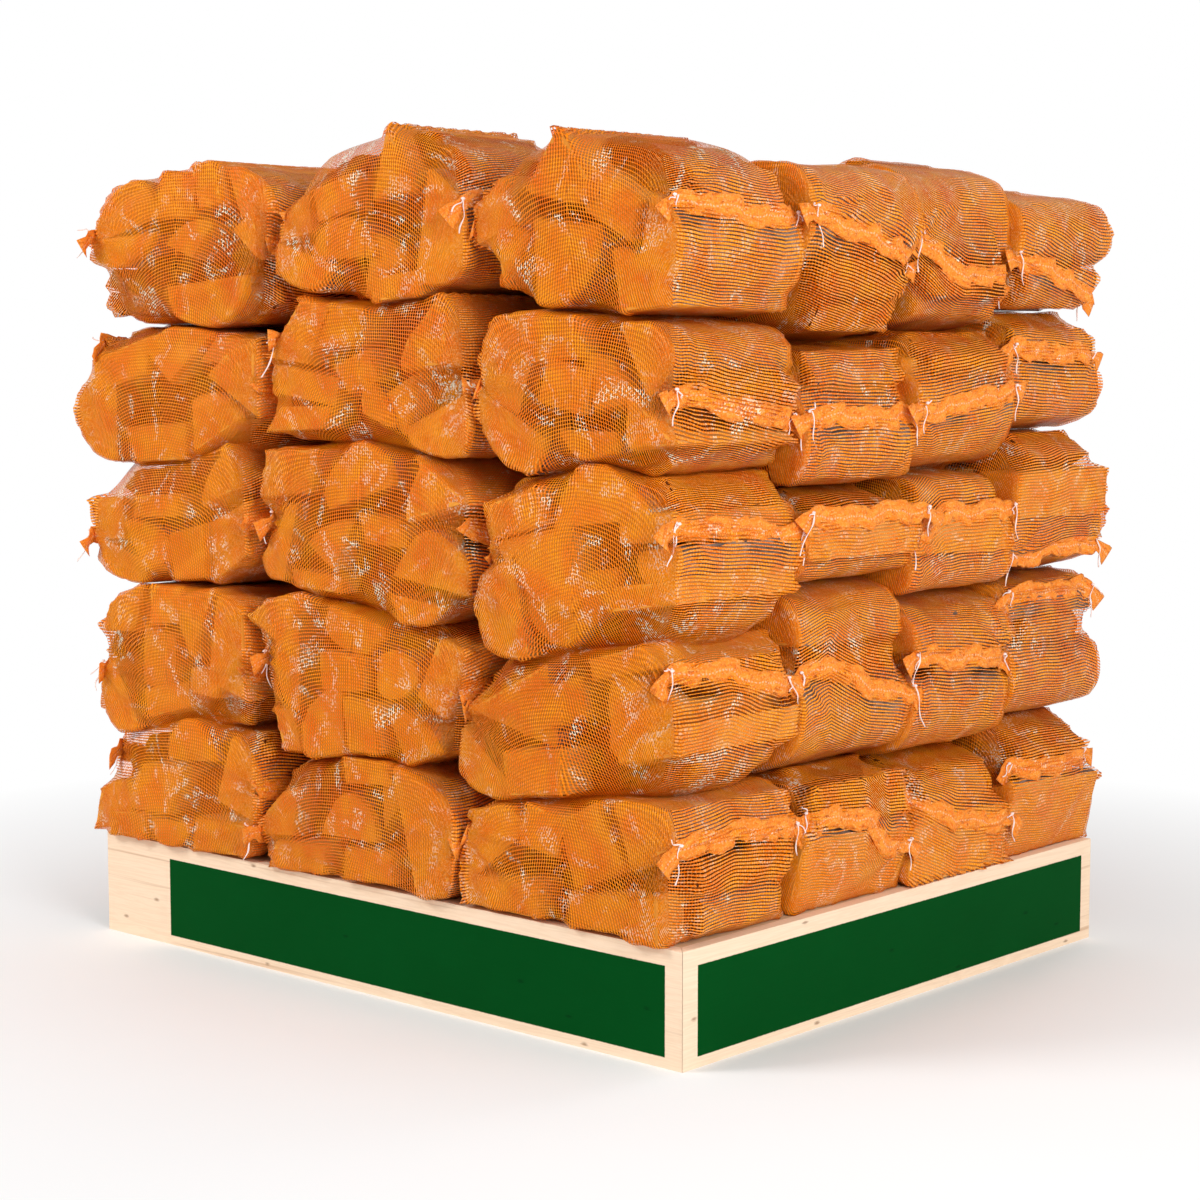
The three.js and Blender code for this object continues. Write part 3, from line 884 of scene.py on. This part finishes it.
def even_out(edges, places, across, up, share, on_deck):
    """Stretches the logs a little, place by place across the bag, until their outer sides
    come near to a full rounded box. Both directions run from -1 to 1."""
    ends = places[edges]
    steps = np.linspace(0, 1, EDGE_SAMPLES)[None, :, None]
    line = (ends[:, :1] * (1 - steps) + ends[:, 1:] * steps).reshape(-1, 2)
    spot = np.clip(((line[:, across] + 1) / 2 * ENVELOPE_STEPS).astype(int), 0, ENVELOPE_STEPS - 1)
    high = np.full(ENVELOPE_STEPS, -1.0)
    low = np.full(ENVELOPE_STEPS, 1.0)
    np.maximum.at(high, spot, line[:, up])
    np.minimum.at(low, spot, line[:, up])
    soft = np.array([1, 2, 3, 2, 1]) / 9
    high = np.convolve(np.pad(high, 2, "edge"), soft, "valid")
    low = np.convolve(np.pad(low, 2, "edge"), soft, "valid")
    centres = (np.arange(ENVELOPE_STEPS) + 0.5) / ENVELOPE_STEPS * 2 - 1
    full = (1 - np.abs(centres) ** ROUNDING) ** (1 / ROUNDING)
    flat = (1 - np.abs(centres) ** FLAT_ROUNDING) ** (1 / FLAT_ROUNDING)
    full_low = flat if on_deck and up == 1 else full
    if on_deck and up == 0:
        full = full_low = np.where(centres < 0, flat, full)
    half_height = np.maximum((high - low) / 2, THIN_LEAST)
    wanted_high = mix(high, full, share)
    wanted_low = mix(low, -full_low, share)
    scale = np.clip((wanted_high - wanted_low) / 2 / half_height, *STRETCH)
    at = places[:, across]
    middle = np.interp(at, centres, (high + low) / 2)
    wanted_middle = np.interp(at, centres, (wanted_high + wanted_low) / 2)
    places[:, up] = wanted_middle + (places[:, up] - middle) * np.interp(at, centres, scale)


def spread_in_cell(mesh, row, column, layer):
    """Moves a bag's logs apart or together so that they just fill the bag's place in the stack."""
    places = coordinates(mesh)
    plane = places[:, [0, 2]]
    low, high = plane.min(axis=0), plane.max(axis=0)
    share = (plane - low) / (high - low) * 2 - 1
    edges = edge_pairs(mesh)
    on_deck = layer == 0
    even_out(edges, share, 0, 1, DECK_HEIGHT_SHARE if on_deck else HEIGHT_SHARE, on_deck)
    even_out(edges, share, 1, 0, DECK_WIDTH_SHARE if on_deck else WIDTH_SHARE, on_deck)
    share = np.clip((share + 1) / 2, 0, 1) * CELL_STEPS
    spots = np.linspace(-1, 1, CELL_STEPS + 1)
    cell = MM * np.array([[place_in_cell(row, column, layer, u, v, CELL_PRESS) for v in spots]
                          for u in spots])
    i, j = np.minimum(share.astype(int), CELL_STEPS - 1).T
    s, t = (share - np.stack([i, j], axis=1)).T[:, :, None]
    left = cell[i, j] * (1 - t) + cell[i, j + 1] * t
    right = cell[i + 1, j] * (1 - t) + cell[i + 1, j + 1] * t
    places[:, [0, 2]] = left * (1 - s) + right * s
    set_coordinates(mesh, places)


# Nets
NET_MARGIN = np.array([7, 6, 6]) * MM
NET_CLEAR = 1.2 * MM
EDGE_CLEAR = 0.8 * MM
EDGE_PUSH_MOST = 12 * MM
PUSH_REACH = 25 * MM
CORE_SHARE = 0.35
SEAM_SHARE = 0.55
SLIT_PLACE = 20 * MM
SLIT_WIDTH = 11 * MM
SLIT_SPACING = 31 * MM
SLIT_SHARE = 0.35
SLIT_START = 90
GATHER_REACH = 55 * MM
BRIDGE_DEPTH = 14 * MM


class NetBlank:
    """A cube cut into an even grid, with the neighbours of each point."""

    def __init__(self, cuts):
        deselect_all()
        bpy.ops.mesh.primitive_cube_add(size=2)
        start_edit()
        bpy.ops.mesh.subdivide(number_cuts=cuts)
        end_edit()
        self.mesh = take_mesh(bpy.context.object)
        self.grid = coordinates(self.mesh)
        self.faces = [tuple(face.vertices) for face in self.mesh.polygons]
        self.side = cuts + 2
        edges = edge_pairs(self.mesh)
        pairs = np.concatenate([edges, edges[:, ::-1]])
        pairs = pairs[np.argsort(pairs[:, 0], kind="stable")]
        counts = np.bincount(pairs[:, 0], minlength=len(self.grid))
        starts = np.concatenate([[0], np.cumsum(counts)[:-1]])
        slots = np.minimum(np.arange(4)[None, :], counts[:, None] - 1)
        self.near = pairs[:, 1][starts[:, None] + slots]

    def cap(self, side):
        """Points of the face at -X or +X as a square array: along Y, then up."""
        on_face = np.flatnonzero(np.isclose(self.grid[:, 0], side))
        order = np.lexsort((self.grid[on_face, 2], self.grid[on_face, 1]))
        return on_face[order].reshape(self.side, self.side)


def shrink_net(blank, logs, limits):
    """Pulls an even grid in from a box until it is taut over the logs.
    Gives the points, the half sizes and how far each point is from the wood."""
    low, high = limits
    centre = (low + high) / 2
    halves = (high - low) / 2
    outer = centre + blank.grid * halves
    inner = centre + blank.grid * halves * CORE_SHARE
    way = inner - outer
    reach = np.linalg.norm(way, axis=1)
    unit = way / reach[:, None]
    tree = BVHTree.FromPolygons([v.co[:] for v in logs.data.vertices],
                                [p.vertices[:] for p in logs.data.polygons])
    stop = np.empty(len(outer))
    for i in range(len(outer)):
        distance = tree.ray_cast(Vector(outer[i]), Vector(unit[i]), reach[i])[3]
        stop[i] = reach[i] if distance is None else max(distance - NET_CLEAR, 0)
    depth = np.zeros(len(outer))
    places = outer.copy()
    for _ in range(RELAX_STEPS):
        middle = places[blank.near].mean(axis=1)
        depth = np.minimum(stop, ((middle - outer) * unit).sum(axis=1))
        places = outer + unit * depth[:, None]
    places = cover_edges(blank, places, unit, logs, centre)
    return places, centre, halves, stop - depth


def cover_edges(blank, places, unit, logs, centre):
    """Pushes the net out where a log's edge would poke through it."""
    tree = BVHTree.FromPolygons([Vector(p) for p in places], blank.faces)
    wood = coordinates(logs.data)
    spots = np.concatenate([wood, wood[edge_pairs(logs.data)].mean(axis=1)])
    push = np.zeros(len(places))
    for spot in spots:
        way = Vector(spot - centre).normalized()
        start = Vector(spot) + way * PUSH_REACH
        _, _, face, distance = tree.ray_cast(start, -way, 2 * PUSH_REACH)
        if face is None or distance <= PUSH_REACH - EDGE_CLEAR:
            continue
        need = distance - PUSH_REACH + EDGE_CLEAR
        if need < EDGE_PUSH_MOST:
            corners = list(blank.faces[face])
            push[corners] = np.maximum(push[corners], need)
    return places - unit * push[:, None]


def thread_places(grid, halves, seam_left, seam_right):
    """Distance round from the seams, which the hoops follow, and the place across them.
    Also where the hoops are pulled apart below a hem and where they are gathered towards it."""
    x, y, z = (grid * halves).T
    hx, hy, hz = halves
    share = (x / hx + 1) / 2
    seam = mix(seam_left(y), seam_right(y), share)
    away = hx - np.abs(x)
    up = np.where(z > seam, hz - seam, hz + seam)
    from_seam = np.abs(z - seam)
    on_end = np.isclose(np.abs(grid[:, 1]), 1)
    on_cap = np.isclose(np.abs(grid[:, 0]), 1)
    straight = 1 - np.exp(-away / (SEAM_SHARE * hz))
    beta = from_seam / up
    rise = up * beta + hz * (1 - beta)
    hoop_end = away + np.sqrt(from_seam ** 2 + (1 - beta ** 2) * straight * rise ** 2)
    hoop = np.where(on_end, hoop_end, np.where(on_cap, from_seam, up + away))
    across_end = np.sign(y) * (hy + straight * (hz - z))
    across = np.where(on_end, across_end, y)
    pulled = np.exp(-(((from_seam - SLIT_PLACE) / SLIT_WIDTH) ** 2)) * (z < seam)
    patchy = np.clip(np.sin(y / SLIT_SPACING + hz * SLIT_START) + SLIT_SHARE, 0, 1) * (away < 1 * MM)
    gathered = np.exp(-away / GATHER_REACH)
    return np.stack([hoop, across], axis=1), pulled * patchy, gathered


# Where the hems lie, in millimetres: on the right face as points of y and z, and on
# the front row's other ends as the left and right heights at the front corner
RIGHT_SEAMS = {
    "C5": [[(-500, 1110), (-300, 1095), (-260, 1100)], [(-240, 1105), (-50, 1060), (40, 1010)],
           [(-20, 1110), (50, 1060), (120, 1030), (250, 1030)], [(260, 1060), (480, 1010)]],
    "C4": [[(-520, 870), (-450, 860), (-300, 835), (-230, 830)], [(-190, 835), (60, 830)],
           [(40, 840), (250, 865)], [(290, 925), (490, 915)]],
    "C3": [[(-470, 700), (-350, 690), (-260, 680)], [(-240, 700), (0, 700)],
           [(20, 660), (80, 690), (260, 690)], [(260, 600), (400, 625)]],
    "C2": [[(-520, 510), (-440, 520), (-300, 480)], [(-250, 480), (-190, 500), (-100, 460), (0, 440)],
           [(40, 490), (150, 480), (280, 460), (330, 440)], [(260, 570), (400, 580), (520, 545)]],
    "C1": [[(-500, 290), (-400, 300), (-260, 285)], [(-230, 290), (-110, 280), (-60, 230), (20, 220)],
           [(0, 290), (120, 240), (280, 220)], [(280, 295), (480, 290)]],
}
CORNER_HEIGHTS = {
    "A5": (1100, None), "A4": (950, None), "A3": (640, None), "A2": (430, None), "A1": (280, None),
    "B5": (None, 1120), "B4": (945, None), "B3": (670, None), "B2": (470, None), "B1": (215, None),
}
SEAM_KEEP_IN = 0.72
SEAM_SETTLE = 200
SEAM_WAVE_HEIGHT = 9
SEAM_WAVE_LENGTH = 45
HEM_WIDTH = 32 * MM
HEM_THICKNESS = 5 * MM
EAR_LENGTH = 37 * MM
EAR_LEAN = {-1: -0.3, 1: 0.12}
EAR_SHARES = np.array([0.3, 0.65, 1.0])
EAR_WIDTHS = np.array([0.55, 0.9, 1.15])
EAR_THICKNESSES = np.array([0.9, 0.7, 0.4])
INNER_HEM_SHARE = 0.35
HEM_OUT = 0.15
INNER_HEM_IN = 0.3
HEM_WIDTHS = (0.88, 1.1)
HEM_RISES = ((3 * MM, 1.7), (2.5 * MM, 3.1))
HEM_SWAY = (1.5 * MM, 1.3)
EAR_REACH = (0.8, 1.2)
EAR_DROOP = (0.1, 0.7)
EAR_FORWARD = 0.85
EAR_UP = 0.25
HEM_SIDES = 10
HEM_SEGMENTS = 44


def corner_height(column, layer, side):
    """Where a front row hem meets the front corner, if that shows."""
    return CORNER_HEIGHTS.get(bag_name(column, layer), (None, None))[0 if side < 0 else 1]


def seam_heights(row, column, layer, side, y_places):
    """Heights of a bag's sewn hem on its left (-1) or right (1) end, at these places along Y, in metres."""
    _, _, z0, z1 = cell_box(row, column, layer)
    middle = (z0 + z1) / 2
    y_mm = y_places / MM
    if column == 2 and side > 0:
        heights = along(RIGHT_SEAMS[bag_name(column, layer)][row], y_mm)
    elif column == 0 and side < 0 and row != FRONT:
        _, _, c0, c1 = cell_box(BACK - row, 2, layer)
        shares = [(y, (z - c0) / (c1 - c0)) for y, z in RIGHT_SEAMS[bag_name(2, layer)][BACK - row]]
        heights = z0 + along(shares, -y_mm) * (z1 - z0)
    else:
        corner = corner_height(column, layer, side) if row == FRONT else None
        start = middle if corner is None else corner
        fade = np.clip((y_mm - ROWS[row][0]) / SEAM_SETTLE, 0, 1)
        wave = np.sin(y_mm / SEAM_WAVE_LENGTH + 2 * layer + 3 * column)
        heights = mix(start, middle, fade) + SEAM_WAVE_HEIGHT * wave
    limit = SEAM_KEEP_IN * (z1 - z0) / 2
    return np.clip(heights, middle - limit, middle + limit) * MM


def model_tube(sides, segments):
    """A closed tube of radius 1 from y = 0 to y = 1, for bending into hems and strings."""
    deselect_all()
    turned = (math.radians(-90), 0, 0)
    bpy.ops.mesh.primitive_cylinder_add(vertices=sides, radius=1, depth=1, rotation=turned,
                                        location=(0, 0.5, 0))
    bpy.ops.object.transform_apply(location=True, rotation=True, scale=False)
    start_edit()
    cut_across([i / segments for i in range(1, segments)])
    end_edit()
    return take_mesh(bpy.context.object)


RUFFLES = (4.8 * MM, 8.3 * MM)
SECOND_RUFFLE = 0.9
RUFFLE_SWAY = 0.35


def bend_tube(tube, path, across, out, widths, heights, ruffle=0.0, seed=0):
    """Lays a copy of the tube along a path. Widths and heights are half sizes along it,
    and across and out are its directions there."""
    mesh = tube.copy()
    places = coordinates(mesh)
    share = np.clip(places[:, 1], 0, 1)
    steps = np.concatenate([[0], np.cumsum(np.linalg.norm(np.diff(path, axis=0), axis=1))])
    length = steps[-1]
    at = share * length

    def read(values):
        return np.stack([np.interp(at, steps, values[:, k]) for k in range(3)], axis=1)

    wide = np.interp(at, steps, widths)
    tall = np.interp(at, steps, heights)
    draw = random.Random(seed)
    start = draw.uniform(0, 6)
    wave = ruffle * (np.sin(at / RUFFLES[0] + start) + SECOND_RUFFLE * np.sin(at / RUFFLES[1] + 2 * start))
    edge = places[:, 0]
    centre = read(path)
    places = (centre + read(across) * (edge * wide + RUFFLE_SWAY * wave)[:, None]
              + read(out) * (places[:, 2] * tall + wave * edge)[:, None])
    set_coordinates(mesh, places)
    add_threads(mesh, np.stack([(edge + 1) / 2, at], axis=1))
    return mesh


def unit_rows(rows):
    return rows / np.maximum(np.linalg.norm(rows, axis=1), 1e-9)[:, None]


def fan_out(corner, side, forward, length, lean, thickness, draw):
    """The hem's ear past a corner, as its path, half widths, half heights and outward directions."""
    reach = length * draw.uniform(*EAR_REACH)
    droop = draw.uniform(*EAR_DROOP)
    steps = np.stack([side * lean * reach * EAR_SHARES, forward * reach * EAR_SHARES * EAR_FORWARD,
                      -droop * reach * EAR_SHARES ** 2], axis=1)
    out = unit_rows(np.tile([side * 1.0, -forward * lean, EAR_UP], (len(EAR_SHARES), 1)))
    return corner + steps, EAR_WIDTHS * HEM_WIDTH / 2, EAR_THICKNESSES * thickness / 2, out


def lay_hem(tubes, path, side, ears, lean, seed, thickness):
    """The folded hem along a bag's end, with a fanned ear past each corner that shows, and its tie strings.
    Ears are the lengths past the two corners, and lean is how far they turn outwards."""
    draw = random.Random(seed)
    width = HEM_WIDTH / 2 * np.array([draw.uniform(*HEM_WIDTHS) for _ in range(len(path))])
    out = np.tile([float(side), 0, 0], (len(path), 1))
    height = np.full(len(path), thickness / 2)
    hem = [path, width, height, out]
    strings = []
    for forward, length in ((-1, ears[0]), (1, ears[1])):
        corner = hem[0][0] if forward < 0 else hem[0][-1]
        ear = fan_out(corner, side, forward, length, lean, thickness, draw)
        if forward < 0:
            hem = [np.concatenate([more[::-1], values]) for values, more in zip(hem, ear)]
        else:
            hem = [np.concatenate([values, more]) for values, more in zip(hem, ear)]
        if length > EAR_LENGTH / 2:
            start = corner + 0.5 * (ear[0][0] - corner)
            strings += tie_string(tubes["string"], tubes["knot"], start, side, forward, draw)
    path, width, height, out = hem
    run = np.arange(len(path))
    path[:, 2] += sum(high * np.sin(run / pitch + k * seed) for k, (high, pitch) in enumerate(HEM_RISES, 1))
    path[:, 0] += side * HEM_SWAY[0] * np.sin(run / HEM_SWAY[1] + 3 * seed)
    across = unit_rows(np.cross(unit_rows(np.gradient(path, axis=0)), out))
    band = bend_tube(tubes["hem"], path, across, out, width, height, thickness * 0.5, seed)
    return [(band, 0)] + [(mesh, 1) for mesh in strings]


STRING_SIDES = 6
STRING_SEGMENTS = 12
STRING_POINTS = 15
STRING_LENGTH = (34, 58)
STRING_RADIUS = 0.9 * MM
STRING_RUFFLE = 0.4 * MM
STRING_OUT = 6 * MM
STRING_CURL = 3 * MM
STRING_SWAY = 3.5 * MM
STRING_DROPS = ((0.75, 1.0), (-0.45, 0.5))
STRING_SWING = (-0.3, 0.6)
STRING_RISE = 0.2
KNOT_SIZE = (2.6 * MM, 3.4 * MM, 2.2 * MM)


def tie_string(tube, knot, start, side, forward, draw):
    """Two loose ends of thin white string at the gathered ear, and their knot."""
    meshes = []
    t = np.linspace(0, 1, STRING_POINTS)
    out = np.tile([float(side), 0, 0], (len(t), 1))
    thin = np.full(len(t), STRING_RADIUS)
    for drop in [draw.uniform(*ends) for ends in STRING_DROPS]:
        length = draw.uniform(*STRING_LENGTH) * MM
        swing = draw.uniform(*STRING_SWING)
        curl = draw.uniform(0, 6)
        fall = np.stack([side * (STRING_OUT + STRING_CURL * np.sin(5 * t + curl)),
                         forward * (length * swing * t) + STRING_SWAY * np.sin(8 * t + curl) * t,
                         length * (STRING_RISE * (1 - t) - drop * t)
                         + STRING_CURL * np.sin(6 * t + 2 * curl) * t], axis=1)
        path = start + fall
        across = unit_rows(np.cross(unit_rows(np.gradient(path, axis=0)), out))
        meshes.append(bend_tube(tube, path, across, out, thin, thin, STRING_RUFFLE, draw.randrange(99)))
    ball = knot.copy()
    ball.transform(Matrix.Translation(Vector(path[1])) @ Matrix.Diagonal((*KNOT_SIZE, 1)))
    add_threads(ball, np.zeros((len(ball.vertices), 2)))
    return [*meshes, ball]


def model_knot():
    """A small ball of radius 1, for the knots of the tie strings."""
    deselect_all()
    bpy.ops.mesh.primitive_ico_sphere_add(subdivisions=2, radius=1)
    mesh = take_mesh(bpy.context.object)
    mesh.uv_layers.remove(mesh.uv_layers[0])
    return mesh


def join_parts(name, parts, materials):
    """One piece from meshes, each with one of the materials."""
    items = []
    for mesh, index in parts:
        for material in materials:
            mesh.materials.append(material)
        mesh.polygons.foreach_set("material_index", [index] * len(mesh.polygons))
        items.append(put_in_scene("part", mesh))
    joined = join(name, items)
    smooth_shade(joined.data)
    return joined


# Folds that run out from the gathered corners
FOLD_REACH = 130 * MM
FOLD_START = 18 * MM
FOLD_HEIGHT = 8 * MM
FOLD_MOST = 10 * MM
FOLD_DIP = 0.4
FOLD_FLOOR = -0.2
PLEATS = [7, 9, 11]


def corner_folds(places, corners):
    """How far the net stands up in folds near its gathered corners."""
    lift = np.zeros(len(places))
    for corner, pleats, strength, start in corners:
        away = places - corner
        far = np.linalg.norm(away, axis=1)
        angle = np.arctan2(away[:, 2], np.hypot(away[:, 0], away[:, 1]) * np.sign(away[:, 0] + 1e-9))
        fade = np.exp(-((far / FOLD_REACH) ** 2)) * np.clip(far / FOLD_START, 0, 1)
        lift += strength * FOLD_HEIGHT * fade * np.maximum(np.sin(angle * pleats + start), FOLD_FLOOR)
    return lift


def hem_line(row, column, layer, side, cap):
    """Path, thickness, ears' lengths and lean of the hem across one end of a bag's net."""
    heights = seam_heights(row, column, layer, side, cap[:, cap.shape[1] // 2, 1])
    path = np.array([[np.interp(z, line[:, 2], line[:, k]) for k in range(3)]
                     for line, z in zip(cap, heights)])
    outer_end = (column == 0 and side < 0) or (column == 2 and side > 0)
    shown = row == FRONT and corner_height(column, layer, side) is not None
    thickness = HEM_THICKNESS if outer_end else HEM_THICKNESS * INNER_HEM_SHARE
    path[:, 0] += side * thickness * (HEM_OUT if outer_end else -INNER_HEM_IN)
    ears = (EAR_LENGTH if outer_end or shown else EAR_LENGTH / 4,
            EAR_LENGTH if outer_end else EAR_LENGTH / 4)
    return path[1:-1], thickness, ears, EAR_LEAN[side] if outer_end else 0


def knit_net(tag, blank, places, threads, fields, material):
    """The net's piece, with the places of its threads and how it lies."""
    mesh = blank.mesh.copy()
    set_coordinates(mesh, places)
    add_threads(mesh, threads)
    for name, values in fields.items():
        add_attribute(mesh, name, "FLOAT", values)
    mesh.materials.append(material)
    smooth_shade(mesh)
    return put_in_scene(f"net_{tag}", mesh)


def make_bag(row, column, layer, masters, blanks, tubes, materials):
    """Logs, net and hems of one bag, in place of its solid."""
    tag = f"{bag_name(column, layer)}_row{row + 1}"
    inner = column == 1 and row not in (FRONT, BACK)
    hidden = inner and layer < LAYERS - 1
    seed = 100 * row + 10 * column + layer
    draw = random.Random(seed)
    logs = fill_bag(tag, masters, row, column, layer, draw)
    blank = blanks["inner" if hidden else "outer"]
    wood = coordinates(logs.data)
    limits = (wood.min(axis=0) - NET_MARGIN, wood.max(axis=0) + NET_MARGIN)
    places, centre, halves, gap = shrink_net(blank, logs, limits)

    def seam(side):
        return lambda y: seam_heights(row, column, layer, side, y + centre[1]) - centre[2]

    threads, slack, gathered = thread_places(blank.grid, halves, seam(-1), seam(1))
    corners = []
    hem_parts = []
    for side in (-1, 1):
        path, thickness, ears, lean = hem_line(row, column, layer, side, places[blank.cap(side)])
        corners.append((path[0], draw.choice(PLEATS), 1.0, draw.uniform(0, 6)))
        corners.append((path[-1], draw.choice(PLEATS), 0.8, draw.uniform(0, 6)))
        if not hidden:
            hem_parts += lay_hem(tubes, path, side, ears, lean, seed * 2 + (side > 0), thickness)
    lift = np.minimum(corner_folds(places, corners), FOLD_MOST)
    outwards = unit_rows(places - centre)
    places = places + outwards * (np.maximum(lift, -FOLD_DIP * gap.clip(0)))[:, None]
    fields = {"bridging": np.clip(gap / BRIDGE_DEPTH, 0, 1), "slack": slack, "gathered": gathered}
    net = knit_net(tag, blank, places, threads, fields, materials["net"])
    pieces = [(logs, "split_beech"), (net, "orange_net")]
    if hem_parts:
        hems = join_parts(f"hems_{tag}", hem_parts, [materials["hem"], materials["string"]])
        pieces.append((hems, "net_hem"))
    node = f"inner_bags_row{row + 1}" if inner else f"log_bag_{tag}"
    for piece, slot in pieces:
        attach(piece, "root")
        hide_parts(node)


def turned_round(panel):
    low, high = panel
    return -high, -low


def dress_base():
    """Materials of the base's own nodes."""
    bare = pine_boards("pine bearers", None, 1)
    dressed = {
        "skirt_front": pine_boards("pine front", FRONT_PANEL, 0),
        "skirt_back": pine_boards("pine back", turned_round(FRONT_PANEL), 0),
        "skirt_right": pine_boards("pine right", RIGHT_PANEL, 1),
        "skirt_left": pine_boards("pine left", turned_round(RIGHT_PANEL), 1),
        "pallet_deck": plywood_material(),
        "bearer_left": bare,
        "bearer_middle": bare,
        "bearer_right": bare,
    }
    for name, material in dressed.items():
        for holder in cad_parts[name].material_slots:
            holder.material = material


def add_floor():
    deselect_all()
    bpy.ops.mesh.primitive_plane_add(size=FLOOR_SIZE)
    floor = bpy.context.object
    floor.name = "floor"
    floor.data.materials.append(floor_material())


def add_world():
    """White to the camera and softer on the object."""
    world = bpy.data.worlds.new("studio")
    world.use_nodes = True
    nodes, links = world.node_tree.nodes, world.node_tree.links
    dome = nodes["Background"]
    dome.inputs["Strength"].default_value = DOME_STRENGTH
    seen = nodes.new("ShaderNodeBackground")
    for background in (dome, seen):
        background.inputs["Color"].default_value = (1, 1, 1, 1)
    rays = nodes.new("ShaderNodeLightPath")
    both = nodes.new("ShaderNodeMixShader")
    links.new(rays.outputs["Is Camera Ray"], both.inputs["Fac"])
    links.new(dome.outputs["Background"], both.inputs[1])
    links.new(seen.outputs["Background"], both.inputs[2])
    links.new(both.outputs["Shader"], nodes["World Output"].inputs["Surface"])
    bpy.context.scene.world = world


dress_base()
log_finishes = [end_grain_material(), split_face_material(), bark_material()]
log_masters = {kind: model_log(kind, seed, log_finishes) for seed, kind in
               enumerate(("wedge", "half", "quarter", "round", "block"))}
net_blanks = {"outer": NetBlank(NET_CUTS), "inner": NetBlank(INNER_NET_CUTS)}
tube_blanks = {"hem": model_tube(HEM_SIDES, HEM_SEGMENTS),
               "string": model_tube(STRING_SIDES, STRING_SEGMENTS), "knot": model_knot()}
finishes = {"net": net_material(), "hem": hem_material(), "string": string_material()}
for bag_row in range(len(ROWS)):
    for bag_column in range(len(COLUMNS)):
        for bag_layer in range(LAYERS):
            make_bag(bag_row, bag_column, bag_layer, log_masters, net_blanks, tube_blanks, finishes)
add_floor()
add_world()
add_lights()
add_camera()
